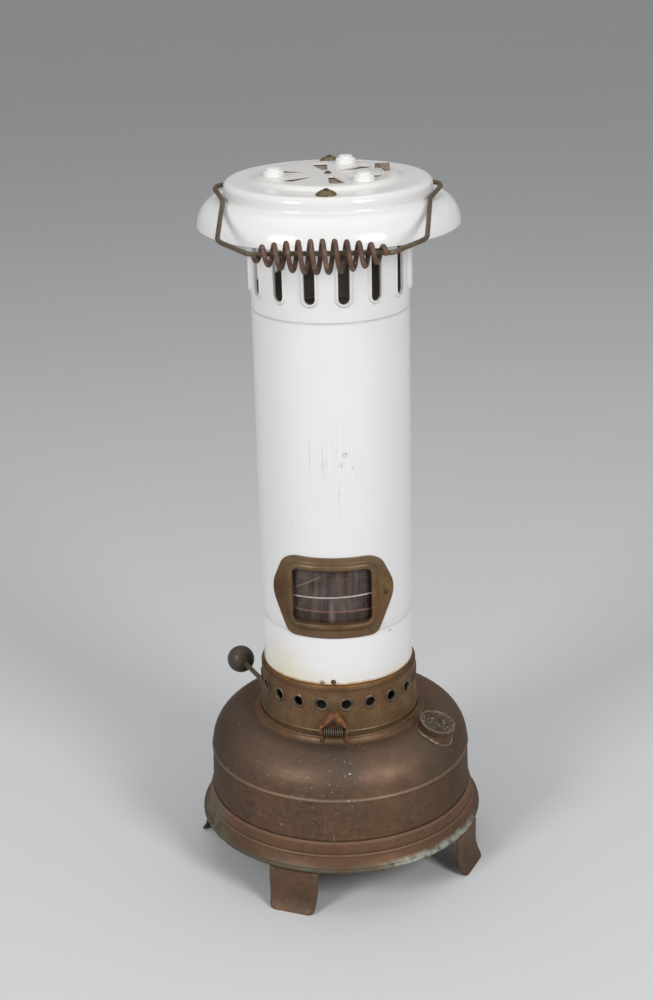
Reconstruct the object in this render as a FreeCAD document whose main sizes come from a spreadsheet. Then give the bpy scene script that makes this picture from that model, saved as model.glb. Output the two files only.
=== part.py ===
# Paraffin heater: an enamelled column on a round copper tank that stands on four strip feet.
# Millimetres, +Z up, origin on the column's axis at floor level, the mica window facing -Y.
import FreeCAD
import Part
import Sketcher
import math
import os
from types import SimpleNamespace
from FreeCAD import Vector, Placement, Rotation

# Driving dimensions. Lengths are millimetres, angles are degrees; bearings are counted from
# the front of the heater towards its right-hand side.
DRIVING = {
    # fits
    "solder_gap": 0.1, "running_gap": 0.3, "shaft_gap": 0.05, "loose_fit": 0.5,
    # copper tank
    "foot_height": 43.0, "tank_wall_height": 73.5, "tank_dome_rise": 36.0, "tank_radius": 127.8,
    "tank_flare": 1.2, "tank_sheet": 1.2, "shoulder_bead": 3.0,
    # beaded ring round the bottom of the tank
    "ring_height": 29.5, "ring_sheet": 1.2, "ring_band_height": 11.8, "ring_band_swell": 2.4,
    "ring_bead": 3.6, "rim_flare": 11.4, "rim_roll": 2.2,
    # strip feet
    "foot_width": 49.0, "toe_width": 45.0, "foot_sheet": 2.0, "foot_setback": 3.0, "foot_flange": 26.0,
    "toe_bend_radius": 36.0, "toe_height": 23.0, "foot_bearing": -16.4, "foot_spread": 85.0,
    # collar that the column stands in
    "collar_height": 6.2, "ledge_sheet": 2.2, "lip_wall": 2.2, "collar_flare": 4.2, "ledge_width": 5.0,
    # filler
    "filler_bearing": 65.0, "filler_inset": 21.7, "filler_room": 1.5, "filler_ease": 5.7,
    "filler_bore": 12.5, "filler_boss_wall": 2.5, "saddle_width": 2.3, "saddle_height": 2.2,
    "boss_height": 4.0,
    "saddle_depth": 8.0, "cap_wall": 2.6, "cap_top": 1.5, "cap_grip_height": 6.0, "cap_rim": 2.4,
    "cap_rim_depth": 0.5, "seal_sheet": 0.6,
    # central-draught burner
    "draught_bore": 34.5, "burner_sheet": 1.0, "wick_sheet": 4.6, "wick_gap": 0.5, "carrier_sheet": 1.6,
    "burner_rise": 93.5, "wick_sink": 2.0, "wick_tube_dip": 40.0, "wick_foot_height": 18.0,
    "burner_flange_width": 21.6, "flange_sheet": 1.2, "carrier_height": 30.0, "spreader_lift": 10.0,
    "spreader_sheet": 2.0, "spreader_overhang": 2.5, "spreader_skirt": 18.0, "spreader_holes": 16.0,
    "spreader_hole": 2.0,
    # wick winder
    "spindle_bearing": -60.7, "spindle_offset": 59.2, "spindle_height": 15.5, "spindle_radius": 2.4,
    "ball_radius": 13.9, "ball_reach": 111.0, "pinion_pitch_radius": 6.0, "pinion_teeth": 12.0,
    "pinion_width": 6.0, "tooth_height": 1.8, "tooth_width": 1.1, "rack_width": 5.0, "rack_length": 30.0,
    "bracket_sheet": 2.0, "bracket_play": 1.0, "bracket_arm": 8.0, "bracket_cheek": 4.0,
    # gallery
    "gallery_height": 54.4, "gallery_sheet": 1.0, "gallery_step": 3.0, "gallery_flare": 2.0,
    "gallery_bead": 2.4, "gallery_foot_band": 9.0, "gallery_neck_height": 25.0, "gallery_round": 3.0,
    "spigot_height": 13.0, "eyelet_count": 20.0, "eyelet_bore": 4.7, "eyelet_wall": 0.8,
    "eyelet_flange": 1.8, "eyelet_lift": 35.7, "eyelet_sheet": 0.9, "notch_width": 10.0,
    "notch_clearance": 4.0,
    # enamelled column
    "column_radius": 73.0, "column_length": 355.6, "enamel_sheet": 1.5, "column_groove": 1.6,
    "groove_depth": 0.8, "groove_lift": 51.6, "screw_lift": 4.2, "screw_radius": 1.5, "screw_head": 2.5,
    "screw_head_height": 1.6, "screw_count": 3.0,
    # mica window
    "window_lift": 92.4, "window_width": 74.2, "window_height": 54.5, "window_corner": 6.0,
    "bezel_width": 6.0, "bezel_rise": 3.6, "frame_sheet": 1.2, "frame_top_width": 88.6,
    "frame_waist_width": 118.8, "frame_foot_width": 84.8, "frame_top_lift": 39.4,
    "frame_foot_drop": 42.4, "frame_corner": 9.0, "frame_point": 28.0, "mica_sheet": 0.5, "pane_lap": 6.0,
    "backing_sheet": 1.0, "backing_bar": 1.6, "rivet_bearing": 42.6, "rivet_drop": 2.0, "rivet_radius": 1.6,
    "rivet_head": 3.0, "rivet_head_height": 1.3,
    # slotted air collar
    "collar_turn": 1.3, "air_collar_length": 113.9, "slot_count": 15.0, "slot_width": 10.3,
    "slot_lift": 17.0, "slot_length": 70.0, "slot_lip": 3.1, "slot_lip_rise": 2.2, "flange_width": 13.0,
    # hood
    "hood_turn": 2.7, "hood_sheet": 1.6, "hood_room": 6.7, "hood_depth": 39.7, "hood_edge": 6.0,
    "band_height": 11.2, "band_fillet": 2.5, "brim_width": 24.9, "nut_room": 2.9, "plateau_rise": 3.7,
    "plateau_round": 3.6, "wedge_count": 6.0, "wedge_bearing": 131.5, "wedge_inner": 15.0,
    "wedge_margin": 13.4, "wedge_tip_width": 4.8, "wedge_end_width": 15.4,
    "bolt_radius": 2.2, "bolt_head": 3.7, "bolt_head_height": 2.6, "nut_radius": 9.0, "nut_height": 4.4,
    "nut_crown": 3.0, "bolt_tail": 1.0,
    "peg_count": 3.0, "peg_margin": 1.8, "peg_bearing": 161.5, "peg_base": 9.6, "peg_top": 5.6,
    "peg_shoulder": 4.5, "peg_height": 7.4, "peg_round": 1.4, "peg_shank": 2.5,
    # damper under the hood
    "damper_room": 1.1, "damper_drop": 0.9, "damper_sheet": 1.0, "tab_inset": 4.7, "tab_bearing": 96.8,
    "tab_sheet": 1.6, "tab_neck": 4.0, "tab_flag": 13.4, "tab_rise": 2.8, "tab_flag_height": 4.2,
    "tab_travel": 22.0, "damper_lag": 22.0, "pivot_radius": 2.0, "pivot_head": 3.3, "pivot_head_height": 2.0,
    # bail handle
    "bail_wire": 2.1, "bail_drop": 5.4, "bail_rest": 8.5, "bail_turn": 1.4, "bail_tail": 4.8,
    "bail_standoff": 6.2, "bail_eye_length": 12.0, "bail_waist": 3.3, "bail_landing": 5.6, "bail_taper": 7.0,
    "bail_corner_length": 138.2, "bail_length": 168.6, "bail_bar": 59.0, "bail_bend": 8.0,
    "bail_corner_bend": 20.0,
    "grip_wire": 2.1, "grip_turns": 11.0, "grip_pitch": 9.9, "grip_end_radius": 4.7,
    "grip_mid_radius": 12.9, "grip_sag": 3.0,
    # spring catch at the front
    "catch_height": 11.0, "catch_reach": 6.4, "catch_pin": 1.4, "catch_ear_span": 20.8, "catch_sheet": 1.2,
    "lever_apex": 20.5, "lever_apex_width": 7.4, "lever_leg": 3.4, "lever_eye": 2.8, "prong_drop": 11.0,
    "spring_wire": 0.65, "spring_coil": 4.05, "spring_turns": 9.0, "spring_pitch": 2.1,
    # rear hinge
    "hinge_reach": 8.4, "hinge_height": 10.5, "hinge_pin": 1.6, "knuckle_wall": 1.6, "knuckle_length": 12.0,
    "hinge_sheet": 1.4, "hinge_strap": 14.0,
}

doc = FreeCAD.newDocument("paraffin_heater")
sheet = doc.addObject("Spreadsheet::Sheet", "Sizes")
for row, (alias, number) in enumerate(DRIVING.items(), start=1):
    sheet.set(f"A{row}", alias)
    sheet.set(f"B{row}", str(number))
    sheet.setAlias(f"B{row}", alias)
doc.recompute()


class Size:
    """A number from the sheet, or worked out from it, carried with the expression that gives it."""

    def __init__(self, value, text):
        self.value = value
        self.text = text

    def __add__(self, other):
        other = as_size(other)
        return Size(self.value + other.value, f"({self.text} + {other.text})")

    def __sub__(self, other):
        other = as_size(other)
        return Size(self.value - other.value, f"({self.text} - {other.text})")

    def __mul__(self, other):
        other = as_size(other)
        return Size(self.value * other.value, f"({self.text} * {other.text})")

    def __truediv__(self, other):
        other = as_size(other)
        return Size(self.value / other.value, f"({self.text} / {other.text})")

    def __neg__(self):
        return Size(-self.value, f"(0 - {self.text})")

    def __radd__(self, other):
        return as_size(other) + self

    def __rsub__(self, other):
        return as_size(other) - self

    def __rmul__(self, other):
        return as_size(other) * self

    def __rtruediv__(self, other):
        return as_size(other) / self


def as_size(number):
    return number if isinstance(number, Size) else Size(float(number), repr(float(number)))


def root(size):
    return Size(math.sqrt(size.value), f"sqrt({size.text})")


def sine(angle):
    return Size(math.sin(math.radians(angle.value)), f"sin({angle.text})")


def cosine(angle):
    return Size(math.cos(math.radians(angle.value)), f"cos({angle.text})")


def arcsine(share):
    return Size(math.degrees(math.asin(share.value)), f"(asin({share.text}) / 1deg)")


def larger(one, other):
    return Size(max(one.value, other.value), f"max({one.text}; {other.text})")


def crown(run, rise):
    """Radius of the arc that leaves its foot upright and climbs `rise` while going in by `run`."""
    return (run * run + rise * rise) / (2 * run)


s = SimpleNamespace(**{alias: Size(sheet.get(alias), f"Sizes.{alias}") for alias in DRIVING})
nodes = []


def keep(obj):
    """Marks an object as a finished sub-part: its label names its file."""
    nodes.append(obj)
    return obj


def bind(obj, **sizes):
    for prop, size in sizes.items():
        obj.setExpression(prop, as_size(size).text)
    return obj


def put(obj, x=0, y=0, z=0, yaw=0, pitch=0, roll=0):
    """Places an object by expressions: turned by roll, then pitch, then yaw, and then moved."""
    x, y, z, yaw, pitch, roll = (as_size(v).text for v in (x, y, z, yaw, pitch, roll))
    obj.setExpression("Placement", f"placement(vector({x}; {y}; {z}); rotation({yaw}; {pitch}; {roll}))")
    return obj


def spin(bearing):
    """Yaw that turns the local X axis to a bearing counted from the front towards the right."""
    return as_size(bearing) - 90


def origin_plane(body, role):
    return next(f for f in body.Origin.OriginFeatures if f.Role == role)


def place_point(sketch, geo, pos, x, y):
    for kind, size, axis in (("DistanceX", x, -2), ("DistanceY", y, -1)):
        if size.text in ("0.0", "0"):
            sketch.addConstraint(Sketcher.Constraint("PointOnObject", geo, pos, axis))
        else:
            index = sketch.addConstraint(Sketcher.Constraint(kind, -1, 1, geo, pos, size.value))
            sketch.setExpression(f"Constraints[{index}]", size.text)


def arc_geometry(a, b, bend):
    """Arc from a to b, turning left for a positive bend radius and right for a negative one."""
    radius = abs(bend)
    chord = b - a
    half = chord.Length / 2
    aside = Vector(-chord.y, chord.x, 0) / chord.Length
    depth = math.sqrt(max(radius * radius - half * half, 0.0))
    centre = (a + b) / 2 + aside * (depth if bend > 0 else -depth)
    first, last = (a, b) if bend > 0 else (b, a)
    start = math.atan2(first.y - centre.y, first.x - centre.x)
    end = math.atan2(last.y - centre.y, last.x - centre.x)
    return Part.ArcOfCircle(Part.Circle(centre, Vector(0, 0, 1), radius), start, end)


def draw(sketch, outline):
    """Closed outline: (x, y), or (x, y, bend) where the edge that leaves the point is an arc."""
    corners = [(as_size(p[0]), as_size(p[1]), p[2] if len(p) > 2 else None) for p in outline]
    edges = []
    for i, (x, y, bend) in enumerate(corners):
        nx, ny, _ = corners[(i + 1) % len(corners)]
        a, b = Vector(x.value, y.value, 0), Vector(nx.value, ny.value, 0)
        if bend is None:
            edges.append((sketch.addGeometry(Part.LineSegment(a, b), False), 1, 2))
        else:
            ends = (1, 2) if bend.value > 0 else (2, 1)
            edges.append((sketch.addGeometry(arc_geometry(a, b, bend.value), False), *ends))
    for i, (x, y, bend) in enumerate(corners):
        geo, head, _ = edges[i]
        last_geo, _, tail = edges[i - 1]
        sketch.addConstraint(Sketcher.Constraint("Coincident", last_geo, tail, geo, head))
        place_point(sketch, geo, head, x, y)
        if bend is not None:
            size = bend if bend.value > 0 else -bend
            index = sketch.addConstraint(Sketcher.Constraint("Radius", geo, size.value))
            sketch.setExpression(f"Constraints[{index}]", size.text)


def new_sketch(body, name, plane, outline=None):
    sketch = body.newObject("Sketcher::SketchObject", name)
    sketch.AttachmentSupport = [(origin_plane(body, plane), "")]
    sketch.MapMode = "FlatFace"
    if outline:
        draw(sketch, outline)
    return sketch


def turned(label, outline):
    """Body turned round Z from a half section drawn as radius and height."""
    body = doc.addObject("PartDesign::Body", label)
    sketch = new_sketch(body, label + "_section", "XZ_Plane", outline)
    turn = body.newObject("PartDesign::Revolution", label + "_turn")
    turn.Profile = sketch
    turn.ReferenceAxis = (sketch, ["V_Axis"])
    turn.Angle = 360
    return body


def padded(label, plane, outline, depth, centred=True):
    """Body padded from an outline on one of its own planes, about that plane or to one side."""
    body = doc.addObject("PartDesign::Body", label)
    sketch = new_sketch(body, label + "_outline", plane, outline)
    pad = body.newObject("PartDesign::Pad", label + "_pad")
    pad.Profile = sketch
    pad.Midplane = centred
    bind(pad, Length=depth)
    return body


def feature_ring(body, kind, sketch, depth, count, upward=False):
    """Pocket or pad from a sketch, repeated round the body's Z axis."""
    one = body.newObject(kind, sketch.Name + "_one")
    one.Profile = sketch
    one.Reversed = upward
    bind(one, Length=depth)
    pattern = body.newObject("PartDesign::PolarPattern", sketch.Name + "_ring")
    pattern.Originals = [one]
    pattern.Axis = (origin_axis(body), [""])
    pattern.Angle = 360
    bind(pattern, Occurrences=count)
    body.Tip = pattern
    return one


def origin_axis(body):
    return next(f for f in body.Origin.OriginFeatures if f.Role == "Z_Axis")


def rounded_box(width, height, corner, mid_height):
    """Outline of an upright rectangle with rounded corners, centred over x = 0."""
    half = width / 2
    low, high = mid_height - height / 2, mid_height + height / 2
    return [
        (-half + corner, low), (half - corner, low, corner),
        (half, low + corner), (half, high - corner, corner),
        (half - corner, high), (-half + corner, high, corner),
        (-half, high - corner), (-half, low + corner, corner),
    ]


def rod(name, radius, length, **place):
    """Plain cylinder along its local Z."""
    obj = bind(doc.addObject("Part::Cylinder", name), Radius=radius, Height=length)
    return put(obj, **place)


def block(name, length, width, height, **place):
    """Plain box that starts at its local origin."""
    obj = bind(doc.addObject("Part::Box", name), Length=length, Width=width, Height=height)
    return put(obj, **place)


def cut(name, base, *tools):
    obj = base
    for number, tool in enumerate(tools, start=1):
        last = number == len(tools)
        step = doc.addObject("Part::Cut", name if last else f"{name}_cut_{number}")
        step.Base = obj
        step.Tool = tool
        obj = step
    return obj


def joined(name, *shapes):
    obj = doc.addObject("Part::MultiFuse", name)
    obj.Shapes = list(shapes)
    return obj


def common(name, *shapes):
    obj = doc.addObject("Part::MultiCommon", name)
    obj.Shapes = list(shapes)
    return obj


def group(name, shapes):
    """Several like solids that share one node."""
    obj = doc.addObject("Part::Compound", name)
    obj.Links = list(shapes)
    return obj


# Levels of the stack, from the floor up
base_z = s.foot_height
shoulder_z = base_z + s.tank_wall_height
top_z = shoulder_z + s.tank_dome_rise
ledge_z = top_z + s.ledge_sheet
seat_z = ledge_z + s.running_gap
lip_z = top_z + s.collar_height
gallery_z = seat_z + s.gallery_height
column_z = gallery_z + s.column_length
flange_z = column_z + s.air_collar_length
plate_z = flange_z + s.solder_gap + s.hood_sheet
plateau_z = plate_z + s.plateau_rise
brim_z = plate_z - s.hood_depth
ring_z = base_z + s.ring_height

# Radii that neighbours share
column_bore = s.column_radius - s.enamel_sheet
gallery_r = s.column_radius + s.gallery_step
gallery_foot_r = gallery_r + s.gallery_flare
lip_inner = gallery_foot_r + s.loose_fit
lip_outer = lip_inner + s.lip_wall
collar_r = lip_outer + s.collar_flare
dome_r = collar_r + s.ledge_sheet
tank_foot_r = s.tank_radius + s.tank_flare
rim_radius = tank_foot_r + s.rim_flare
draught_r = s.draught_bore + s.burner_sheet
wick_inner = draught_r + s.wick_gap
wick_outer = wick_inner + s.wick_sheet
carrier_inner = wick_outer + s.wick_gap
carrier_outer = carrier_inner + s.carrier_sheet
wick_tube_inner = carrier_outer + s.wick_gap
wick_tube_outer = wick_tube_inner + s.burner_sheet
burner_hole = wick_tube_outer + s.solder_gap
boss_r = s.filler_bore + s.filler_boss_wall
cap_inner = boss_r + s.running_gap
cap_outer = cap_inner + s.cap_wall
flange_r = s.column_radius + s.flange_width
bolt_ring = s.column_radius + s.flange_width / 2
hood_radius = flange_r + s.hood_room + s.hood_sheet
brim_radius = hood_radius + s.brim_width
plateau_radius = bolt_ring - s.nut_radius - s.nut_room
plateau_in = plateau_radius - s.plateau_round * 2
wedge_outer = plateau_in - s.wedge_margin
peg_ring = plateau_in - s.peg_base - s.peg_margin
damper_radius = plateau_in - s.hood_sheet / 2 - s.damper_room
tab_ring = damper_radius - s.tab_inset


# Tank: spun copper shell with a domed shoulder, its flat bottom and the beaded ring round its foot
def dome_outline(inset):
    """Outer wall of the tank, from the flat top down to the ring, drawn in by an inset."""
    rise = s.tank_dome_rise - inset
    run = s.tank_radius - inset - dome_r
    return [
        (dome_r, top_z - inset, -crown(run, rise)),
        (s.tank_radius - inset, shoulder_z),
        (tank_foot_r - inset, ring_z),
        (tank_foot_r - inset, base_z),
    ]


outer_wall = dome_outline(as_size(0))
inner_wall = dome_outline(s.tank_sheet)
bead_foot = (s.tank_radius, shoulder_z - s.shoulder_bead)
outer_wall[1] = (s.tank_radius, shoulder_z, -(s.shoulder_bead * 0.6))
outer_wall.insert(2, bead_foot)
inner_up = [(p[0], p[1]) for p in reversed(inner_wall)]
inner_up[2] = (*inner_up[2], -inner_wall[0][2])
tank_blank = turned("tank_blank", [(burner_hole, top_z)] + outer_wall + inner_up
                    + [(burner_hole, top_z - s.tank_sheet)])

# The filler stands on the dome, a little more upright than the dome's own slope, clear of the collar
filler_reach = larger(s.tank_radius - s.filler_inset, collar_r + cap_outer + s.filler_room)
filler_x = filler_reach * sine(s.filler_bearing)
filler_y = -(filler_reach * cosine(s.filler_bearing))
dome_run = s.tank_radius - dome_r
dome_bend = crown(dome_run, s.tank_dome_rise)
filler_run = filler_reach - (s.tank_radius - dome_bend)
filler_z = shoulder_z + root(dome_bend * dome_bend - filler_run * filler_run)
filler_lean = arcsine(filler_run / dome_bend) - s.filler_ease


def on_filler(obj, along=0):
    """Places a piece along the leaning axis of the filler, counted from the skin of the dome."""
    lean_x = along * sine(filler_lean) * sine(s.filler_bearing)
    lean_y = along * sine(filler_lean) * cosine(s.filler_bearing)
    return put(obj, filler_x + lean_x, filler_y - lean_y, filler_z + along * cosine(filler_lean),
               yaw=spin(s.filler_bearing), pitch=filler_lean)


filler_drill = doc.addObject("Part::Cylinder", "filler_drill")
bind(filler_drill, Radius=s.filler_bore, Height=s.saddle_depth * 4)
on_filler(filler_drill, -(s.saddle_depth * 2))
keep(cut("tank_shell", tank_blank, filler_drill))

base_plate_r = tank_foot_r - s.tank_sheet - s.solder_gap
keep(turned("tank_base", [
    (draught_r + s.solder_gap, base_z), (base_plate_r, base_z),
    (base_plate_r, base_z + s.tank_sheet), (draught_r + s.solder_gap, base_z + s.tank_sheet),
]))

ring_inner = tank_foot_r + s.solder_gap
ring_outer = ring_inner + s.ring_sheet
band_z = ring_z - s.ring_band_height
band_r = ring_outer + s.ring_band_swell
roll_low = base_z + s.solder_gap * 2
roll_high = roll_low + s.rim_roll * 2
roll_r = rim_radius - s.rim_roll
roll_bend = s.rim_roll * 1.05
keep(turned("base_ring", [
    (ring_inner, ring_z), (ring_outer, ring_z, -(s.ring_band_height * 4)),
    (band_r, band_z, -(s.ring_bead * 0.55)), (band_r, band_z - s.ring_bead, s.ring_height),
    (roll_r, roll_high, -roll_bend), (roll_r, roll_low, -roll_bend),
    (roll_r - s.ring_sheet, roll_high, -s.ring_height), (band_r - s.ring_sheet, band_z - s.ring_bead),
    (band_r - s.ring_sheet, band_z, s.ring_band_height * 4),
]))


# Feet: strips bent in under the tank, splayed at the toe and narrowed towards it
def strip_foot(label, bearing):
    outer = rim_radius - s.foot_setback
    inner = outer - s.foot_sheet
    bend_z = s.toe_height
    back_bend = s.toe_bend_radius + s.foot_sheet
    toe_out = s.toe_bend_radius - root(s.toe_bend_radius * s.toe_bend_radius - bend_z * bend_z)
    sole_out = back_bend - root(back_bend * back_bend - bend_z * bend_z)
    side = padded(label + "_strip", "XZ_Plane", [
        (outer - s.foot_flange, base_z), (outer, base_z), (outer, bend_z, s.toe_bend_radius),
        (outer + toe_out, as_size(0)), (inner + sole_out, as_size(0), -back_bend),
        (inner, bend_z), (inner, base_z - s.foot_sheet), (outer - s.foot_flange, base_z - s.foot_sheet),
    ], s.foot_width)
    half, toe_half = s.foot_width / 2, s.toe_width / 2
    front = padded(label + "_front", "YZ_Plane", [
        (-toe_half, -s.foot_sheet), (toe_half, -s.foot_sheet), (half, bend_z), (half, base_z + s.foot_sheet),
        (-half, base_z + s.foot_sheet), (-half, bend_z),
    ], rim_radius * 2 + s.toe_bend_radius * 2)
    return put(common(label, side, front), yaw=spin(bearing))


for side_name, bearing in (("front", s.foot_bearing), ("right", s.foot_bearing + s.foot_spread),
                           ("rear", s.foot_bearing + 180), ("left", s.foot_bearing - s.foot_spread)):
    keep(strip_foot(f"foot_{side_name}", bearing))

# Collar on the tank: a ledge that carries the column and a lip round its foot
ledge_inner = gallery_foot_r - s.ledge_width
keep(turned("tank_collar", [
    (ledge_inner, top_z + s.solder_gap), (collar_r, top_z + s.solder_gap, -(s.collar_height * 1.2)),
    (lip_outer, lip_z - s.lip_wall / 2), (lip_outer, lip_z, s.lip_wall * 0.6), (lip_inner, lip_z),
    (lip_inner, ledge_z), (ledge_inner, ledge_z),
]))

# Filler: a saddle soldered to the dome, a threaded boss, a seal and a screw cap
saddle_r = boss_r + s.saddle_width
boss_top = s.saddle_height + s.boss_height
neck_blank = turned("neck_blank", [
    (s.filler_bore, -s.saddle_depth), (saddle_r, -s.saddle_depth), (saddle_r, s.saddle_height),
    (boss_r, s.saddle_height), (boss_r, boss_top), (s.filler_bore, boss_top),
])
on_filler(neck_blank)
tank_solid = turned("tank_solid", [
    (as_size(0), top_z), *dome_outline(as_size(0)), (as_size(0), base_z),
])
keep(cut("filler_neck", neck_blank, tank_solid))

seal_low = boss_top + s.running_gap
seal_high = seal_low + s.seal_sheet
keep(on_filler(turned("cap_seal", [
    (s.filler_bore, seal_low), (boss_r, seal_low), (boss_r, seal_high), (s.filler_bore, seal_high),
])))

cap_ceiling = seal_high + s.running_gap
cap_crown = cap_ceiling + s.cap_top
cap_low = cap_crown - s.cap_grip_height
keep(on_filler(turned("filler_cap", [
    (as_size(0), cap_ceiling), (cap_inner, cap_ceiling), (cap_inner, cap_low), (cap_outer, cap_low),
    (cap_outer, cap_crown - s.cap_rim_depth, s.cap_rim_depth * 1.05 * root(as_size(2))),
    (cap_outer - s.cap_rim_depth, cap_crown), (cap_outer - s.cap_rim, cap_crown),
    (cap_outer - s.cap_rim, cap_crown - s.cap_rim_depth), (as_size(0), cap_crown - s.cap_rim_depth),
])))

# Burner: draught tube through the tank, wick tube round it, the wick between them on its carrier
burner_z = top_z + s.burner_rise
flange_top = top_z + s.flange_sheet
burner_flange_r = wick_tube_outer + s.burner_flange_width
wick_top = burner_z - s.wick_sink
carrier_low = flange_top + s.burner_sheet * 4
keep(turned("draught_tube", [
    (s.draught_bore, base_z), (draught_r, base_z), (draught_r, burner_z + s.wick_sink),
    (s.draught_bore, burner_z + s.wick_sink),
]))
tube_blank = turned("wick_tube_blank", [
    (wick_tube_inner, top_z - s.wick_tube_dip), (wick_tube_outer, top_z - s.wick_tube_dip),
    (wick_tube_outer, top_z), (burner_flange_r, top_z), (burner_flange_r, flange_top),
    (wick_tube_outer, flange_top), (wick_tube_outer, burner_z), (wick_tube_inner, burner_z),
])
keep(turned("wick", [
    (wick_inner, base_z + s.wick_foot_height), (wick_outer, base_z + s.wick_foot_height),
    (wick_outer, wick_top), (wick_inner, wick_top),
]))

# Flame spreader: a capped and pierced thimble that stands in the draught tube
spreader_inner = s.draught_bore - s.wick_gap - s.burner_sheet
spreader_outer = s.draught_bore - s.wick_gap
spreader_z = burner_z + s.spreader_lift
spreader = turned("flame_spreader", [
    (as_size(0), spreader_z), (spreader_inner, spreader_z), (spreader_inner, spreader_z - s.spreader_skirt),
    (spreader_outer, spreader_z - s.spreader_skirt), (spreader_outer, spreader_z),
    (spreader_outer + s.spreader_overhang, spreader_z), (spreader_outer, spreader_z + s.spreader_sheet),
    (as_size(0), spreader_z + s.spreader_sheet),
])
spreader_holes = new_sketch(spreader, "spreader_holes", "XZ_Plane")


def circle(sketch, x, y, radius):
    geo = sketch.addGeometry(Part.Circle(Vector(x.value, y.value, 0), Vector(0, 0, 1), radius.value), False)
    place_point(sketch, geo, 3, x, y)
    index = sketch.addConstraint(Sketcher.Constraint("Radius", geo, radius.value))
    sketch.setExpression(f"Constraints[{index}]", radius.text)


circle(spreader_holes, as_size(0), spreader_z - s.spreader_hole * 2, s.spreader_hole)
feature_ring(spreader, "PartDesign::Pocket", spreader_holes, s.draught_bore, s.spreader_holes, upward=True)
keep(spreader)

# Wick winder: a spindle that runs past the wick tube, with a pinion in mesh with the carrier's rack
winder_yaw = spin(s.spindle_bearing)
spindle_z = top_z + s.spindle_height
rack_root = s.spindle_offset - s.pinion_pitch_radius - s.tooth_height / 2
rack_tip = rack_root + s.tooth_height
rack_low = carrier_low
pinion_tip = s.pinion_pitch_radius + s.tooth_height / 2 - s.running_gap
pinion_root = s.pinion_pitch_radius - s.tooth_height / 2 - s.running_gap
tooth_pitch = s.pinion_pitch_radius * (2 * math.pi) / s.pinion_teeth


def tooth(inner, outer, mid):
    """Trapezoid tooth from an inner to an outer reach, at a height."""
    return [(inner, mid - s.tooth_width * 0.8), (outer, mid - s.tooth_width * 0.35),
            (outer, mid + s.tooth_width * 0.35), (inner, mid + s.tooth_width * 0.8)]


# The carrier is a thin sleeve; its rack stands out through a slot in the wick tube. The rack
# keeps a whole number of teeth below the pinion's centre, with a gap facing the pinion's tooth.
sleeve = turned("carrier_sleeve", [
    (carrier_inner, carrier_low), (carrier_outer, carrier_low),
    (carrier_outer, carrier_low + s.carrier_height), (carrier_inner, carrier_low + s.carrier_height),
])
rack_bar = block("rack_bar", rack_root - carrier_inner - s.carrier_sheet / 2, s.rack_width, s.rack_length)
put(rack_bar, carrier_inner + s.carrier_sheet / 2, -(s.rack_width / 2), rack_low)
rack_tooth = padded("rack_tooth", "XZ_Plane", tooth(rack_root - s.tooth_width, rack_tip, tooth_pitch / 2),
                    s.rack_width)
rack_reach = math.floor((spindle_z.value - rack_low.value) / tooth_pitch.value - 1)
rack_teeth = doc.addObject("Part::MultiFuse", "rack_teeth")
tooth_links = []
for step in range(-rack_reach, math.floor(s.rack_length.value / tooth_pitch.value) - rack_reach - 1):
    link = doc.addObject("App::Link", f"rack_tooth_{step + rack_reach + 1}")
    link.LinkedObject = rack_tooth
    put(link, z=spindle_z + tooth_pitch * step)
    tooth_links.append(link)
rack_teeth.Shapes = tooth_links
rack = put(joined("rack", rack_bar, rack_teeth), yaw=winder_yaw)
keep(joined("wick_carrier", sleeve, rack))

rack_slot = block("rack_slot", s.spindle_offset - draught_r, s.rack_width + s.loose_fit * 4,
                  s.rack_length + s.carrier_height)
slot_half = s.rack_width / 2 + s.loose_fit * 2
slot_low = flange_top + s.burner_sheet
slot_x = draught_r * cosine(winder_yaw) + slot_half * sine(winder_yaw)
slot_y = draught_r * sine(winder_yaw) - slot_half * cosine(winder_yaw)
put(rack_slot, slot_x, slot_y, slot_low, yaw=winder_yaw)
keep(cut("wick_tube", tube_blank, rack_slot))


def on_spindle(obj, along, roll=0):
    """Places a piece, built along its local Z, on the spindle's line, counted out from the pinion."""
    out_x, out_y = sine(winder_yaw), -cosine(winder_yaw)
    return put(obj, s.spindle_offset * cosine(winder_yaw) + along * out_x,
               s.spindle_offset * sine(winder_yaw) + along * out_y, spindle_z,
               yaw=winder_yaw, roll=90 + as_size(roll))


spindle_tail = s.pinion_width / 2 + s.bracket_play + s.bracket_sheet * 2
spindle = doc.addObject("Part::Cylinder", "wick_spindle")
bind(spindle, Radius=s.spindle_radius, Height=spindle_tail + s.ball_reach - s.ball_radius / 2)
keep(on_spindle(spindle, -spindle_tail))

ball = bind(doc.addObject("Part::Sphere", "ball_blank"), Radius=s.ball_radius)
on_spindle(ball, s.ball_reach)
ball_bore = bind(doc.addObject("Part::Cylinder", "ball_bore"), Radius=s.spindle_radius + s.shaft_gap,
                 Height=s.ball_radius * 1.5)
on_spindle(ball_bore, s.ball_reach - s.ball_radius * 2)
keep(cut("ball_knob", ball, ball_bore))

pinion = doc.addObject("PartDesign::Body", "wick_pinion")
pinion_core = new_sketch(pinion, "pinion_core", "XY_Plane")
circle(pinion_core, as_size(0), as_size(0), pinion_root)
circle(pinion_core, as_size(0), as_size(0), s.spindle_radius + s.shaft_gap)
core_pad = pinion.newObject("PartDesign::Pad", "pinion_core_pad")
core_pad.Profile = pinion_core
core_pad.Midplane = True
bind(core_pad, Length=s.pinion_width)
pinion_tooth = new_sketch(pinion, "pinion_tooth", "XY_Plane",
                          tooth(pinion_root - s.tooth_width / 2, pinion_tip, as_size(0)))
tooth_pad = feature_ring(pinion, "PartDesign::Pad", pinion_tooth, s.pinion_width, s.pinion_teeth)
tooth_pad.Midplane = True
keep(on_spindle(pinion, as_size(0)))

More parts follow.
